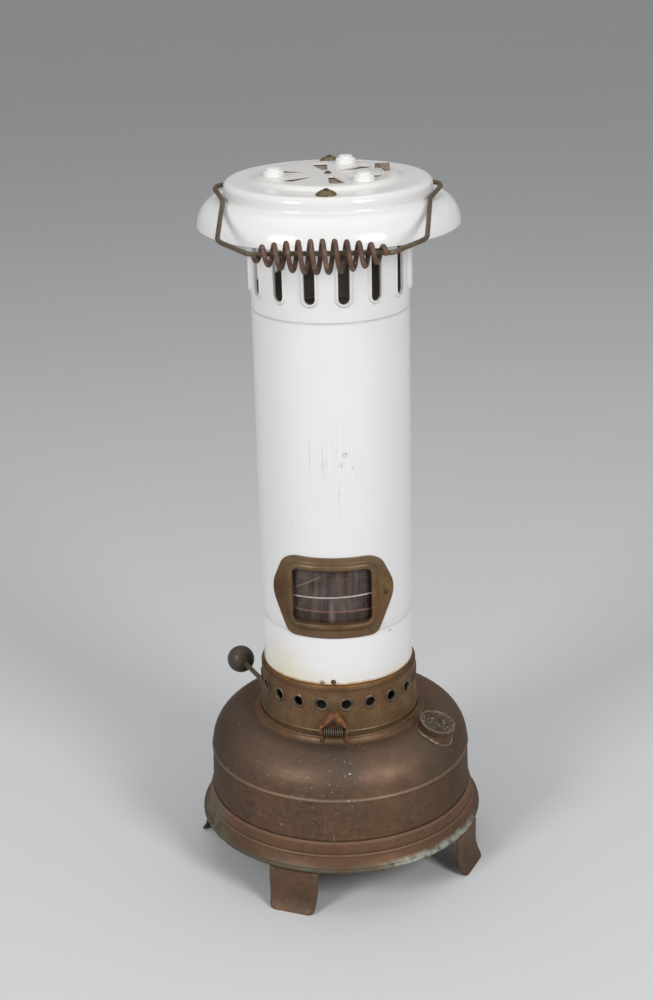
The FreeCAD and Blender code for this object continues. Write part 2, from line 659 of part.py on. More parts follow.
# Bracket for the spindle: two cheeks on a foot that is soldered to the burner's flange
cheek_in = s.spindle_offset - s.bracket_cheek
cheek_gap = s.pinion_width / 2 + s.bracket_play
cheek_top = spindle_z + s.bracket_cheek
bracket_shapes = [
    block("bracket_foot", s.bracket_arm, cheek_gap * 2, s.bracket_sheet),
    block("bracket_cheek_in", s.bracket_arm, s.bracket_sheet, cheek_top - flange_top),
    block("bracket_cheek_out", s.bracket_arm, s.bracket_sheet, cheek_top - flange_top),
]
for shape, y in zip(bracket_shapes, (-cheek_gap, cheek_gap, -(cheek_gap + s.bracket_sheet))):
    put(shape, cheek_in, y, flange_top)
bracket_blank = put(joined("bracket_blank", *bracket_shapes), yaw=winder_yaw)
bracket_bore = bind(doc.addObject("Part::Cylinder", "bracket_bore"), Radius=s.spindle_radius + s.shaft_gap,
                    Height=spindle_tail * 4)
on_spindle(bracket_bore, -(spindle_tail * 2))
keep(cut("spindle_bracket", bracket_blank, bracket_bore))

# Gallery: spun brass ring with a row of air holes, a spigot for the column and a notch for the spindle
eyelet_z = seat_z + s.eyelet_lift
neck_z = seat_z + s.gallery_neck_height
foot_band_z = seat_z + s.gallery_foot_band
spigot_r = column_bore - s.solder_gap
gallery_skin = s.gallery_sheet
gallery = turned("gallery_blank", [
    (gallery_foot_r - gallery_skin, seat_z), (gallery_foot_r, seat_z),
    (gallery_foot_r, foot_band_z - s.gallery_bead), (gallery_foot_r, foot_band_z),
    (gallery_r, neck_z), (gallery_r, gallery_z - s.gallery_round, s.gallery_round * 1.05),
    (gallery_r - s.gallery_round * 0.9, gallery_z), (spigot_r, gallery_z),
    (spigot_r, gallery_z + s.spigot_height), (spigot_r - gallery_skin, gallery_z + s.spigot_height),
    (spigot_r - gallery_skin, gallery_z - gallery_skin),
    (gallery_r - gallery_skin, gallery_z - s.gallery_round - gallery_skin),
    (gallery_r - gallery_skin, neck_z), (gallery_foot_r - gallery_skin, foot_band_z),
])
eyelet_hole = s.eyelet_bore + s.eyelet_wall + s.solder_gap
gallery_holes = new_sketch(gallery, "gallery_holes", "XZ_Plane")
circle(gallery_holes, as_size(0), eyelet_z, eyelet_hole)
feature_ring(gallery, "PartDesign::Pocket", gallery_holes, gallery_foot_r, s.eyelet_count, upward=True)
eyelet_phase = 180 / s.eyelet_count
put(gallery, yaw=eyelet_phase)
notch_out = root(gallery_foot_r * gallery_foot_r - s.spindle_offset * s.spindle_offset)
notch_x = s.spindle_offset * cosine(winder_yaw) + notch_out * sine(winder_yaw)
notch_y = s.spindle_offset * sine(winder_yaw) - notch_out * cosine(winder_yaw)
notch_height = spindle_z + s.spindle_radius + s.notch_clearance - seat_z
notch_reach = s.notch_width * 2
notch = block("spindle_notch", s.notch_width, notch_reach, notch_height + s.running_gap)
put(notch, notch_x - s.notch_width / 2 * cosine(winder_yaw) + notch_reach / 2 * sine(winder_yaw),
    notch_y - s.notch_width / 2 * sine(winder_yaw) - notch_reach / 2 * cosine(winder_yaw),
    seat_z - s.running_gap, yaw=winder_yaw)
screw_z = gallery_z + s.screw_lift
screw_drill = doc.addObject("PartDesign::Body", "screw_drill")


def radial_rods(body, name, z, radius, reach, count, start):
    """Ring of rods that point outwards, from a start reach, as one body of separate solids."""
    sketch = new_sketch(body, name, "XZ_Plane")
    circle(sketch, as_size(0), z, radius)
    one = feature_ring(body, "PartDesign::Pad", sketch, reach, count)
    sketch.AttachmentOffset = Placement(Vector(0, 0, start.value), Rotation())
    sketch.setExpression("AttachmentOffset.Base.z", start.text)
    return one


radial_rods(screw_drill, "screw_drill_rods", screw_z, s.screw_radius + s.solder_gap,
            s.enamel_sheet * 8, s.screw_count, s.column_radius - s.enamel_sheet * 4)
keep(cut("gallery", gallery, notch, screw_drill))

eyelets = doc.addObject("PartDesign::Body", "gallery_eyelets")
eyelet_skin = gallery_r + s.solder_gap
eyelet_out = eyelet_skin + s.eyelet_sheet
eyelet_rim = s.eyelet_bore + s.eyelet_wall + s.eyelet_flange
eyelet_section = new_sketch(eyelets, "eyelet_section", "YZ_Plane", [
    (-(gallery_r - gallery_skin * 2), eyelet_z + s.eyelet_bore),
    (-eyelet_out, eyelet_z + s.eyelet_bore),
    (-eyelet_out, eyelet_z + s.eyelet_bore + s.eyelet_wall),
    (-eyelet_skin - s.solder_gap * 2, eyelet_z + eyelet_rim), (-eyelet_skin, eyelet_z + eyelet_rim),
    (-eyelet_skin, eyelet_z + s.eyelet_bore + s.eyelet_wall),
    (-(gallery_r - gallery_skin * 2), eyelet_z + s.eyelet_bore + s.eyelet_wall),
])
eyelet_axis = eyelet_section.addGeometry(Part.LineSegment(
    Vector(-eyelet_out.value, eyelet_z.value, 0), Vector(-column_bore.value, eyelet_z.value, 0)), True)
place_point(eyelet_section, eyelet_axis, 1, -eyelet_out, eyelet_z)
place_point(eyelet_section, eyelet_axis, 2, -column_bore, eyelet_z)
eyelet_turn = eyelets.newObject("PartDesign::Revolution", "eyelet_turn")
eyelet_turn.Profile = eyelet_section
eyelet_turn.ReferenceAxis = (eyelet_section, ["Axis0"])
eyelet_turn.Angle = 360
eyelet_ring = eyelets.newObject("PartDesign::PolarPattern", "eyelet_ring")
eyelet_ring.Originals = [eyelet_turn]
eyelet_ring.Axis = (origin_axis(eyelets), [""])
eyelet_ring.Angle = 360
bind(eyelet_ring, Occurrences=s.eyelet_count)
eyelets.Tip = eyelet_ring
keep(put(eyelets, yaw=eyelet_phase))

# Column: enamelled tube with a rolled groove, a window and three screws into the gallery
window_z = gallery_z + s.window_lift
groove_z = gallery_z + s.groove_lift
column_blank = turned("column_blank", [
    (column_bore, gallery_z), (s.column_radius, gallery_z), (s.column_radius, groove_z - s.column_groove),
    (s.column_radius - s.groove_depth, groove_z), (s.column_radius, groove_z + s.column_groove),
    (s.column_radius, column_z), (column_bore, column_z),
])
window_cut = padded("window_cut", "XZ_Plane",
                    rounded_box(s.window_width, s.window_height, s.window_corner, window_z),
                    s.column_radius * 2, centred=False)


def at_bearing(name, bearing, z, radius, start, reach):
    """Rod that points outwards at a bearing, from a start reach."""
    return rod(name, radius, reach, x=start * sine(bearing), y=-(start * cosine(bearing)), z=z,
               yaw=spin(bearing), pitch=90)


window_sides = (-s.rivet_bearing, s.rivet_bearing)
rivet_z = window_z - s.rivet_drop
rivet_drills = [at_bearing(f"rivet_drill_{i}", bearing, rivet_z, s.rivet_radius + s.solder_gap,
                           column_bore - s.backing_sheet * 4, s.enamel_sheet * 8)
                for i, bearing in enumerate(window_sides, start=1)]
keep(cut("column_tube", column_blank, window_cut, screw_drill, *rivet_drills))

screws = doc.addObject("PartDesign::Body", "column_screws")
radial_rods(screws, "screw_shanks", screw_z, s.screw_radius, s.enamel_sheet * 3 + s.screw_head_height,
            s.screw_count, column_bore - s.enamel_sheet * 2)
radial_rods(screws, "screw_heads", screw_z, s.screw_head, s.screw_head_height, s.screw_count,
            s.column_radius + s.solder_gap)
keep(screws)


# Window: brass frame with a raised bezel, a mica pane and a steel backing frame, held by two rivets
def ring_of_column(name, inner, outer):
    """Length of tube on the column's axis, tall enough for the window."""
    low = window_z - s.window_height
    high = window_z + s.window_height
    return turned(name, [(inner, low), (outer, low), (outer, high), (inner, high)])


frame_inner = s.column_radius + s.solder_gap
frame_outer = frame_inner + s.frame_sheet
frame_outline = [
    (-(s.frame_foot_width / 2), window_z - s.frame_foot_drop),
    (s.frame_foot_width / 2, window_z - s.frame_foot_drop),
    (s.frame_waist_width / 2, window_z), (s.frame_top_width / 2, window_z + s.frame_top_lift),
    (-(s.frame_top_width / 2), window_z + s.frame_top_lift), (-(s.frame_waist_width / 2), window_z),
]
frame_face = padded("frame_face", "XZ_Plane", frame_outline, s.column_radius * 2, centred=False)


def round_frame(name, base, radius, at_side):
    """Rounds the frame's upright cut edges: those at its two side points, or all the others."""
    doc.recompute()
    chosen = []
    for i, edge in enumerate(base.Shape.Edges, start=1):
        along = abs(edge.tangentAt(edge.FirstParameter).y) > 0.9
        near_side = abs(edge.Vertexes[0].Z - window_z.value) < s.frame_foot_drop.value / 2
        if along and near_side == at_side:
            chosen.append(f"Edge{i}")
    fillet = frame_face.newObject("PartDesign::Fillet", name)
    fillet.Base = (base, chosen)
    return bind(fillet, Radius=radius)


frame_sides = round_frame("frame_sides", doc.getObject("frame_face_pad"), s.frame_point, True)
round_frame("frame_round", frame_sides, s.frame_corner, False)
frame_plate = common("frame_plate", frame_face, ring_of_column("frame_skin", frame_inner, frame_outer))
bezel_face = padded("bezel_face", "XZ_Plane",
                    rounded_box(s.window_width + s.bezel_width * 2, s.window_height + s.bezel_width * 2,
                                s.window_corner + s.bezel_width, window_z),
                    s.column_radius * 2, centred=False)
bezel = common("bezel", bezel_face, ring_of_column("bezel_skin", frame_inner, frame_outer + s.bezel_rise))
keep(cut("window_frame", joined("frame_blank", frame_plate, bezel), window_cut, *rivet_drills))

pane_outer = column_bore - s.solder_gap
pane_inner = pane_outer - s.mica_sheet
pane_face = padded("pane_face", "XZ_Plane",
                   rounded_box(s.window_width + s.pane_lap * 2, s.window_height + s.pane_lap * 2,
                               s.window_corner, window_z),
                   s.column_radius * 2, centred=False)
pane_blank = common("pane_blank", pane_face, ring_of_column("pane_skin", pane_inner, pane_outer))
keep(cut("mica_pane", pane_blank, *rivet_drills))

backing_outer = pane_inner - s.solder_gap
backing_inner = backing_outer - s.backing_sheet
backing_face = padded("backing_face", "XZ_Plane",
                      rounded_box(s.frame_waist_width, s.window_height + s.pane_lap * 2, s.window_corner,
                                  window_z),
                      s.column_radius * 2, centred=False)
backing_skin = ring_of_column("backing_skin", backing_inner, backing_outer)
backing_blank = common("backing_blank", backing_face, backing_skin)
backing_open = cut("backing_open", backing_blank, window_cut)
bar_face = padded("bar_face", "XZ_Plane",
                  rounded_box(s.backing_bar, s.window_height + s.pane_lap, s.backing_bar / 4, window_z),
                  s.column_radius * 2, centred=False)
bar = common("backing_bar", bar_face, ring_of_column("bar_skin", backing_inner, backing_outer))
keep(cut("window_backing", joined("backing_frame", backing_open, bar), *rivet_drills))

rivets = []
for i, bearing in enumerate(window_sides, start=1):
    shank = at_bearing(f"rivet_shank_{i}", bearing, rivet_z, s.rivet_radius, backing_inner - s.backing_sheet,
                       frame_outer - backing_inner + s.backing_sheet * 2)
    head = at_bearing(f"rivet_head_{i}", bearing, rivet_z, s.rivet_head, frame_outer + s.solder_gap,
                      s.rivet_head_height)
    rivets.append(joined(f"rivet_{i}", shank, head))
keep(group("window_rivets", rivets))

# Air collar: enamelled tube with raised slots, spigoted into the column and flanged for the hood
collar_spigot_r = column_bore - s.solder_gap
collar_bore = collar_spigot_r - s.enamel_sheet
flange_low = flange_z - s.enamel_sheet
air_collar = turned("air_collar_blank", [
    (collar_bore, column_z - s.spigot_height), (collar_spigot_r, column_z - s.spigot_height),
    (collar_spigot_r, column_z + s.solder_gap), (s.column_radius, column_z + s.solder_gap),
    (s.column_radius, flange_low), (flange_r, flange_low), (flange_r, flange_z), (column_bore, flange_z),
    (column_bore, column_z + s.enamel_sheet * 2), (collar_bore, column_z + s.enamel_sheet),
])


def stadium(width, low, high):
    half = width / 2
    bend = half * 1.02
    return [(-half, low + half, bend), (half, low + half), (half, high - half, bend), (-half, high - half)]


slot_low_z = column_z + s.slot_lift
slot_high_z = slot_low_z + s.slot_length
lip_skin = s.column_radius - s.enamel_sheet
lip_line = stadium(s.slot_width + s.slot_lip * 2, slot_low_z - s.slot_lip, slot_high_z + s.slot_lip)
slot_lips = new_sketch(air_collar, "slot_lips", "XZ_Plane", lip_line)
feature_ring(air_collar, "PartDesign::Pad", slot_lips, s.enamel_sheet + s.slot_lip_rise, s.slot_count)
slot_lips.AttachmentOffset = Placement(Vector(0, 0, lip_skin.value), Rotation())
slot_lips.setExpression("AttachmentOffset.Base.z", lip_skin.text)
slots = new_sketch(air_collar, "slots", "XZ_Plane", stadium(s.slot_width, slot_low_z, slot_high_z))
feature_ring(air_collar, "PartDesign::Pocket", slots, s.column_radius * 2, s.slot_count, upward=True)
put(air_collar, yaw=180 / s.slot_count + s.collar_turn)
bolt_sides = (s.hood_turn, s.hood_turn + 180)


def upright(name, ring, bearing, z, radius, length):
    """Upright rod at a ring radius and a bearing."""
    return rod(name, radius, length, x=ring * sine(bearing), y=-(ring * cosine(bearing)), z=z)


bolt_drills = [upright(f"bolt_drill_{i}", bolt_ring, bearing, flange_low - s.enamel_sheet,
                       s.bolt_radius + s.solder_gap, s.enamel_sheet * 8)
               for i, bearing in enumerate(bolt_sides, start=1)]
keep(cut("air_collar", air_collar, *bolt_drills))

# Hood: enamelled pressing like a bowler hat, with a raised middle pierced by wedges
edge_z = plate_z - s.hood_edge
band_low = plate_z - s.band_height
fillet_r = hood_radius + s.band_fillet
fillet_z = band_low - s.band_fillet
skin = s.hood_sheet
bore_r = hood_radius - skin
brim_run = brim_radius - fillet_r
brim_rise = fillet_z - brim_z
brim_in = brim_radius - skin
inner_fillet_z = fillet_z - skin
inner_run = brim_in - fillet_r
inner_rise = inner_fillet_z - brim_z
hood = turned("hood_blank", [
    (as_size(0), plateau_z), (plateau_in, plateau_z, -(s.plateau_round * 2.4)),
    (plateau_in + s.plateau_round, plateau_z - s.plateau_rise / 2, s.plateau_round * 2.4),
    (plateau_radius, plate_z), (hood_radius - s.hood_edge, plate_z, -s.hood_edge * 1.02),
    (hood_radius, edge_z), (hood_radius, band_low, s.band_fillet * 1.02),
    (fillet_r, fillet_z, -crown(brim_run, brim_rise)),
    (brim_radius, brim_z), (brim_in, brim_z, crown(inner_run, inner_rise)), (fillet_r, inner_fillet_z),
    (bore_r, band_low - skin), (bore_r, edge_z, (s.hood_edge - skin) * 1.02),
    (hood_radius - s.hood_edge, plate_z - skin),
    (plateau_radius, plate_z - skin, -(s.plateau_round * 2.4)),
    (plateau_in + s.plateau_round - skin / 2, plateau_z - s.plateau_rise / 2 - skin, s.plateau_round * 2.4),
    (plateau_in - skin / 2, plateau_z - skin), (as_size(0), plateau_z - skin),
])


def wedge(inner, outer, tip, end):
    return [(inner, -(tip / 2)), (outer, -(end / 2), end * 0.7), (outer, end / 2), (inner, tip / 2)]


hood_wedges = new_sketch(hood, "hood_wedges", "XY_Plane",
                         wedge(s.wedge_inner, wedge_outer, s.wedge_tip_width, s.wedge_end_width))
feature_ring(hood, "PartDesign::Pocket", hood_wedges, plateau_z * 2, s.wedge_count, upward=True)
put(hood, yaw=spin(s.wedge_bearing + s.hood_turn))
peg_bearings = [s.peg_bearing + s.hood_turn + as_size(360 * i) / s.peg_count
                for i in range(round(s.peg_count.value))]
peg_low = plateau_z - skin
peg_drills = []
for i, bearing in enumerate(peg_bearings, start=1):
    drill_r = s.peg_shank + s.solder_gap
    peg_drills.append(upright(f"peg_drill_{i}", peg_ring, bearing, peg_low - skin, drill_r, skin * 3))
pivot_drill = rod("pivot_drill", s.pivot_radius + s.shaft_gap, skin * 3, z=peg_low - skin)
tab_slot_half = s.tab_neck / 2 + s.loose_fit
tab_room = s.tab_travel + (180 / math.pi) * (s.tab_sheet + s.loose_fit * 2) / tab_ring


def arc_slot(name, ring, half, bearing, sweep, z, height):
    """Curved slot cutter on a ring, centred on a bearing."""
    low = doc.addObject("Part::Cylinder", name + "_outer")
    bind(low, Radius=ring + half, Height=height, Angle=sweep)
    core = bind(doc.addObject("Part::Cylinder", name + "_inner"), Radius=ring - half, Height=height)
    return put(cut(name, low, core), z=z, yaw=spin(bearing) - sweep / 2)


tab_slot = arc_slot("tab_slot", tab_ring, tab_slot_half, s.tab_bearing + s.hood_turn + s.tab_travel / 2,
                    tab_room, peg_low - skin, skin * 3)
bail_z = plate_z - s.bail_drop
drill_half = hood_radius * 1.1
bail_drill = rod("bail_drill", s.bail_wire + s.loose_fit, drill_half * 2,
                 x=-(drill_half * cosine(s.bail_turn)), y=-(drill_half * sine(s.bail_turn)), z=bail_z,
                 yaw=s.bail_turn, pitch=90)
keep(cut("hood", hood, *peg_drills, pivot_drill, tab_slot, bail_drill, *bolt_drills))

# Bolts up through the collar's flange, with domed brass nuts on the hood
bolts, nuts = [], []
for i, bearing in enumerate(bolt_sides, start=1):
    head_z = flange_low - s.solder_gap - s.bolt_head_height
    nut_z = plate_z + s.solder_gap
    head = upright(f"bolt_head_{i}", bolt_ring, bearing, head_z, s.bolt_head, s.bolt_head_height)
    shank = upright(f"bolt_shank_{i}", bolt_ring, bearing, head_z, s.bolt_radius,
                    nut_z + s.nut_height + s.bolt_tail - head_z)
    bolts.append(joined(f"bolt_{i}", head, shank))
    nut_blank = turned(f"nut_blank_{i}", [
        (s.bolt_radius + s.shaft_gap, as_size(0)), (s.nut_radius, as_size(0), s.nut_radius),
        (s.nut_crown + s.bolt_radius, s.nut_height), (s.bolt_radius + s.shaft_gap, s.nut_height),
    ])
    nuts.append(put(nut_blank, bolt_ring * sine(bearing), -(bolt_ring * cosine(bearing)), nut_z))
keep(group("hood_bolts", bolts))
keep(group("hood_nuts", nuts))

# Pegs that keep a pot clear of the hood
pegs = []
for i, bearing in enumerate(peg_bearings, start=1):
    peg = turned(f"peg_{i}", [
        (as_size(0), -skin), (s.peg_shank, -skin), (s.peg_shank, s.solder_gap), (s.peg_base, s.solder_gap),
        (s.peg_base, s.peg_shoulder / 3, s.peg_shoulder), (s.peg_top, s.peg_shoulder),
        (s.peg_top, s.peg_height - s.peg_round, s.peg_round * 1.2), (s.peg_top - s.peg_round, s.peg_height),
        (as_size(0), s.peg_height),
    ])
    pegs.append(put(peg, peg_ring * sine(bearing), -(peg_ring * cosine(bearing)), plateau_z))
keep(group("pot_pegs", pegs))

# Damper: a pierced disc that turns under the hood on its centre rivet, moved by a bent-up tab
damper_high = plateau_z - skin - s.damper_drop
damper_low = damper_high - s.damper_sheet
damper_blank = turned("damper_blank", [
    (s.pivot_radius + s.running_gap, damper_low), (damper_radius, damper_low), (damper_radius, damper_high),
    (s.pivot_radius + s.running_gap, damper_high),
])
damper_wedges = new_sketch(damper_blank, "damper_wedges", "XY_Plane",
                           wedge(s.wedge_inner, wedge_outer, s.wedge_tip_width, s.wedge_end_width))
feature_ring(damper_blank, "PartDesign::Pocket", damper_wedges, plateau_z * 2, s.wedge_count, upward=True)
put(damper_blank, yaw=spin(s.wedge_bearing - s.damper_lag + s.hood_turn))
tab_neck = block("tab_neck", s.tab_neck, s.tab_sheet, plateau_z + s.tab_rise - damper_low)
put(tab_neck, tab_ring - s.tab_neck / 2, -(s.tab_sheet / 2), damper_low)
tab_flag = block("tab_flag", s.tab_flag, s.tab_sheet, s.tab_flag_height)
put(tab_flag, tab_ring + s.tab_neck / 2 - s.tab_flag, -(s.tab_sheet / 2), plateau_z + s.tab_rise)
tab = put(joined("damper_tab", tab_neck, tab_flag), yaw=spin(s.tab_bearing + s.hood_turn))
keep(joined("damper_disc", damper_blank, tab))

pivot_foot = damper_low - s.running_gap
keep(turned("damper_pivot", [
    (as_size(0), pivot_foot - s.pivot_head_height / 2),
    (s.pivot_head * 1.5, pivot_foot - s.pivot_head_height / 2), (s.pivot_head * 1.5, pivot_foot),
    (s.pivot_radius, pivot_foot), (s.pivot_radius, damper_high + s.running_gap),
    (s.pivot_head, damper_high + s.running_gap), (s.pivot_head, plateau_z - skin - s.solder_gap),
    (s.pivot_radius, plateau_z - skin - s.solder_gap), (s.pivot_radius, plateau_z + s.solder_gap),
    (s.pivot_head, plateau_z + s.solder_gap, s.pivot_head * 1.3),
    (s.pivot_radius / 2, plateau_z + s.pivot_head_height), (as_size(0), plateau_z + s.pivot_head_height),
]))


# Bent and wound wire
def bent_path(points, bends):
    """Straight runs joined by tangent arcs, one radius for each corner."""
    edges, start = [], points[0]
    for before, corner, after, bend in zip(points, points[1:], points[2:], bends):
        back = (before - corner).normalize()
        ahead = (after - corner).normalize()
        half_turn = (math.pi - back.getAngle(ahead)) / 2
        setback = bend * math.tan(half_turn)
        enter, leave = corner + back * setback, corner + ahead * setback
        inward = (back + ahead).normalize()
        middle = corner + inward * (bend / math.cos(half_turn) - bend)
        edges += [Part.LineSegment(start, enter).toShape(), Part.Arc(enter, middle, leave).toShape()]
        start = leave
    edges.append(Part.LineSegment(start, points[-1]).toShape())
    return Part.Wire(edges)


def biarc(start, start_way, end, end_way):
    """Two arcs that meet smoothly between two points with given directions."""
    span = end - start
    ways = start_way + end_way
    mix = span.dot(ways)
    spread = 2 * (1 - start_way.dot(end_way))
    arm = (-mix + math.sqrt(mix * mix + spread * span.dot(span))) / spread
    joint = (start + start_way * arm + end - end_way * arm) / 2
    return [arc_from(start, start_way, joint), arc_from(end, -end_way, joint)]


def arc_from(start, way, end):
    chord = end - start
    along = Vector(chord).normalize()
    lean = way.getAngle(along)
    aside = (way - along * way.dot(along)).normalize()
    middle = (start + end) / 2 + aside * (chord.Length / 2 * math.tan(lean / 2))
    return Part.Arc(start, middle, end).toShape()


def wound_path(point, turns, wire):
    """Smooth path through a winding given by a function of turns, with a straight tail at each end."""
    def way(t):
        nudge = 1e-4
        return (point(t + nudge) - point(t - nudge)).normalize()

    quarters = [i / 4 for i in range(round(turns * 4) + 1)]
    edges = [Part.LineSegment(point(0) - way(0) * wire * 2, point(0)).toShape()]
    for a, b in zip(quarters, quarters[1:]):
        edges += biarc(point(a), way(a), point(b), way(b))
    edges.append(Part.LineSegment(point(turns), point(turns) + way(turns) * wire * 2).toShape())
    return Part.Wire(Part.__sortEdges__(edges))


def wire_solid(path, radius):
    start = path.OrderedVertexes[0].Point
    first = path.OrderedEdges[0]
    way = first.tangentAt(first.FirstParameter)
    ring = Part.Wire(Part.makeCircle(radius, start, way))
    shell = path.makePipeShell([ring], True, False)
    return shell if shell.ShapeType == "Solid" else shell.Solids[0]


def least_gap(point, turns, wire):
    """Smallest clear distance between neighbouring turns of a winding."""
    steps = 24
    marks = [point(i / steps) for i in range(round(turns * steps) + 1)]
    apart = min((marks[i] - marks[j]).Length for i in range(len(marks))
                for j in range(i + steps * 3 // 4, min(i + steps * 2, len(marks))))
    return apart - wire * 2


def wire_piece(label, shape):
    obj = doc.addObject("Part::Feature", label)
    obj.Shape = shape
    return obj


# Bail: one wire sprung into the hood's two holes, resting forward on the brim
rest = math.radians(s.bail_rest.value)
turn = Rotation(Vector(0, 0, 1), s.bail_turn.value)
bail_side = turn.multVec(Vector(1, 0, 0))
bail_ahead = turn.multVec(Vector(0, -math.cos(rest), -math.sin(rest)))
bail_across = turn.multVec(Vector(0, math.sin(rest), -math.cos(rest)))
bail_hub = Vector(0, 0, bail_z.value)


def on_bail(x, reach):
    return bail_hub + bail_side * x + bail_ahead * reach


bail_end = hood_radius.value - s.bail_tail.value
bail_eye = hood_radius.value + s.bail_standoff.value
bail_shank = hood_radius.value - s.bail_waist.value
bail_corner = hood_radius.value - s.bail_taper.value
shank_start = math.sqrt((hood_radius.value + s.bail_landing.value) ** 2 - bail_shank ** 2)
half_bail = [
    (bail_end, 0.0), (bail_eye, 0.0), (bail_eye, s.bail_eye_length.value), (bail_shank, shank_start),
    (bail_corner, s.bail_corner_length.value), (s.bail_bar.value, s.bail_length.value),
]
bail_points = [on_bail(-x, y) for x, y in half_bail] + [on_bail(x, y) for x, y in reversed(half_bail)]
half_bends = [s.bail_bend.value] * 3 + [s.bail_corner_bend.value, s.bail_bend.value]
bail_path = bent_path(bail_points, half_bends + half_bends[::-1])
keep(wire_piece("handle_bail", wire_solid(bail_path, s.bail_wire.value)))

# Grip: a barrel of wire wound round the bail's bar to keep the hand off the hot wire
grip_turns = s.grip_turns.value
grip_swell = s.grip_mid_radius.value - s.grip_end_radius.value


def grip_point(t):
    from_middle = 2 * t / grip_turns - 1
    bulge = 1 - from_middle * from_middle
    radius = s.grip_end_radius.value + grip_swell * bulge
    angle = 2 * math.pi * t
    x = (t - grip_turns / 2) * s.grip_pitch.value
    middle = on_bail(x, s.bail_length.value) + bail_across * (s.grip_sag.value * bulge)
    return middle + bail_ahead * (radius * math.cos(angle)) + bail_across * (radius * math.sin(angle))


grip_path = wound_path(grip_point, grip_turns, s.grip_wire.value)
keep(wire_piece("handle_grip", wire_solid(grip_path, s.grip_wire.value)))
grip_gap = least_gap(grip_point, grip_turns, s.grip_wire.value)
print("least gap between the grip's turns", round(grip_gap, 2))

# Spring catch: a bracket on the gallery with a pin, a coil spring round it and an A-shaped lever
pin_y = gallery_foot_r + s.catch_reach
pin_z = seat_z + s.catch_height
ear_in = s.catch_ear_span / 2
ear_out = ear_in + s.catch_sheet
lever_in = ear_out + s.running_gap
lever_out = lever_in + s.catch_sheet * 1.5
bracket_back = gallery_foot_r + s.solder_gap
ear_reach = s.catch_pin * 2
plate_low = pin_z - ear_reach
catch_plate = block("catch_plate", ear_out * 2, s.catch_sheet, ear_reach * 2)
put(catch_plate, -ear_out, -(bracket_back + s.catch_sheet), plate_low)
ears = []
for name, x in (("catch_ear_left", -ear_out), ("catch_ear_right", ear_in)):
    ear = block(name, s.catch_sheet, pin_y + ear_reach - bracket_back, ear_reach * 2)
    ears.append(put(ear, x, -(pin_y + ear_reach), plate_low))
pin_bore = rod("catch_pin_bore", s.catch_pin + s.shaft_gap, lever_out * 4,
               x=-(lever_out * 2), y=-pin_y, z=pin_z, pitch=90)
keep(cut("catch_bracket", joined("catch_bracket_blank", catch_plate, *ears), pin_bore))
pin_length = lever_out * 2 + s.catch_sheet
keep(rod("catch_pin", s.catch_pin, pin_length, x=-(pin_length / 2), y=-pin_y, z=pin_z, pitch=90))

apex_half = s.lever_apex_width / 2
apex_z = pin_z + s.lever_apex
leg_top = pin_z + s.lever_eye * 2
lever_face = padded("lever_face", "XZ_Plane", [
    (-apex_half, apex_z), (-lever_out, leg_top), (-lever_out, pin_z), (-lever_in, pin_z),
    (-lever_in, leg_top - s.lever_leg / 2), (as_size(0), apex_z - s.lever_leg * 1.6),
    (lever_in, leg_top - s.lever_leg / 2), (lever_in, pin_z), (lever_out, pin_z),
    (lever_out, leg_top), (apex_half, apex_z),
], s.catch_sheet)
put(lever_face, y=-pin_y)
lever_bits = [lever_face]
lever_side = lever_out - lever_in
for name, x in (("left", -lever_out), ("right", lever_in)):
    lever_bits.append(rod(f"lever_eye_{name}", s.lever_eye, lever_side, x=x, y=-pin_y, z=pin_z, pitch=90))
    prong = block(f"lever_prong_{name}", lever_side, s.catch_sheet, s.prong_drop)
    lever_bits.append(put(prong, x, -(pin_y + s.catch_sheet / 2), pin_z - s.prong_drop))
keep(cut("catch_lever", joined("lever_blank", *lever_bits), pin_bore))

spring_turns = s.spring_turns.value


def spring_point(t):
    angle = 2 * math.pi * t - math.pi / 2
    x = (t - spring_turns / 2) * s.spring_pitch.value
    coil = s.spring_coil.value
    return Vector(x, -pin_y.value + coil * math.sin(angle), pin_z.value + coil * math.cos(angle))


spring_path = wound_path(spring_point, spring_turns, s.spring_wire.value)
keep(wire_piece("catch_spring", wire_solid(spring_path, s.spring_wire.value)))
spring_gap = least_gap(spring_point, spring_turns, s.spring_wire.value)
print("least gap between the spring's turns", round(spring_gap, 2))

# Rear hinge: the column tips back on it once the catch is pressed
hinge_y = gallery_foot_r + s.hinge_reach
hinge_z = top_z + s.hinge_height
knuckle_r = s.hinge_pin + s.knuckle_wall
knuckle_half = s.knuckle_length / 2
side_knuckle = knuckle_half + s.running_gap
side_end = side_knuckle + s.knuckle_length
hinge_bore = rod("hinge_bore", s.hinge_pin + s.shaft_gap, side_end * 4,
                 x=-(side_end * 2), y=hinge_y, z=hinge_z, pitch=90)
tank_knuckle = rod("tank_knuckle", knuckle_r, s.knuckle_length,
                   x=-knuckle_half, y=hinge_y, z=hinge_z, pitch=90)
tank_tab = block("tank_hinge_tab", s.knuckle_length, s.hinge_sheet, hinge_z - top_z - s.solder_gap)
put(tank_tab, -knuckle_half, hinge_y - s.hinge_sheet / 2, top_z + s.solder_gap)
keep(cut("hinge_leaf_tank", joined("tank_leaf_blank", tank_knuckle, tank_tab), hinge_bore))

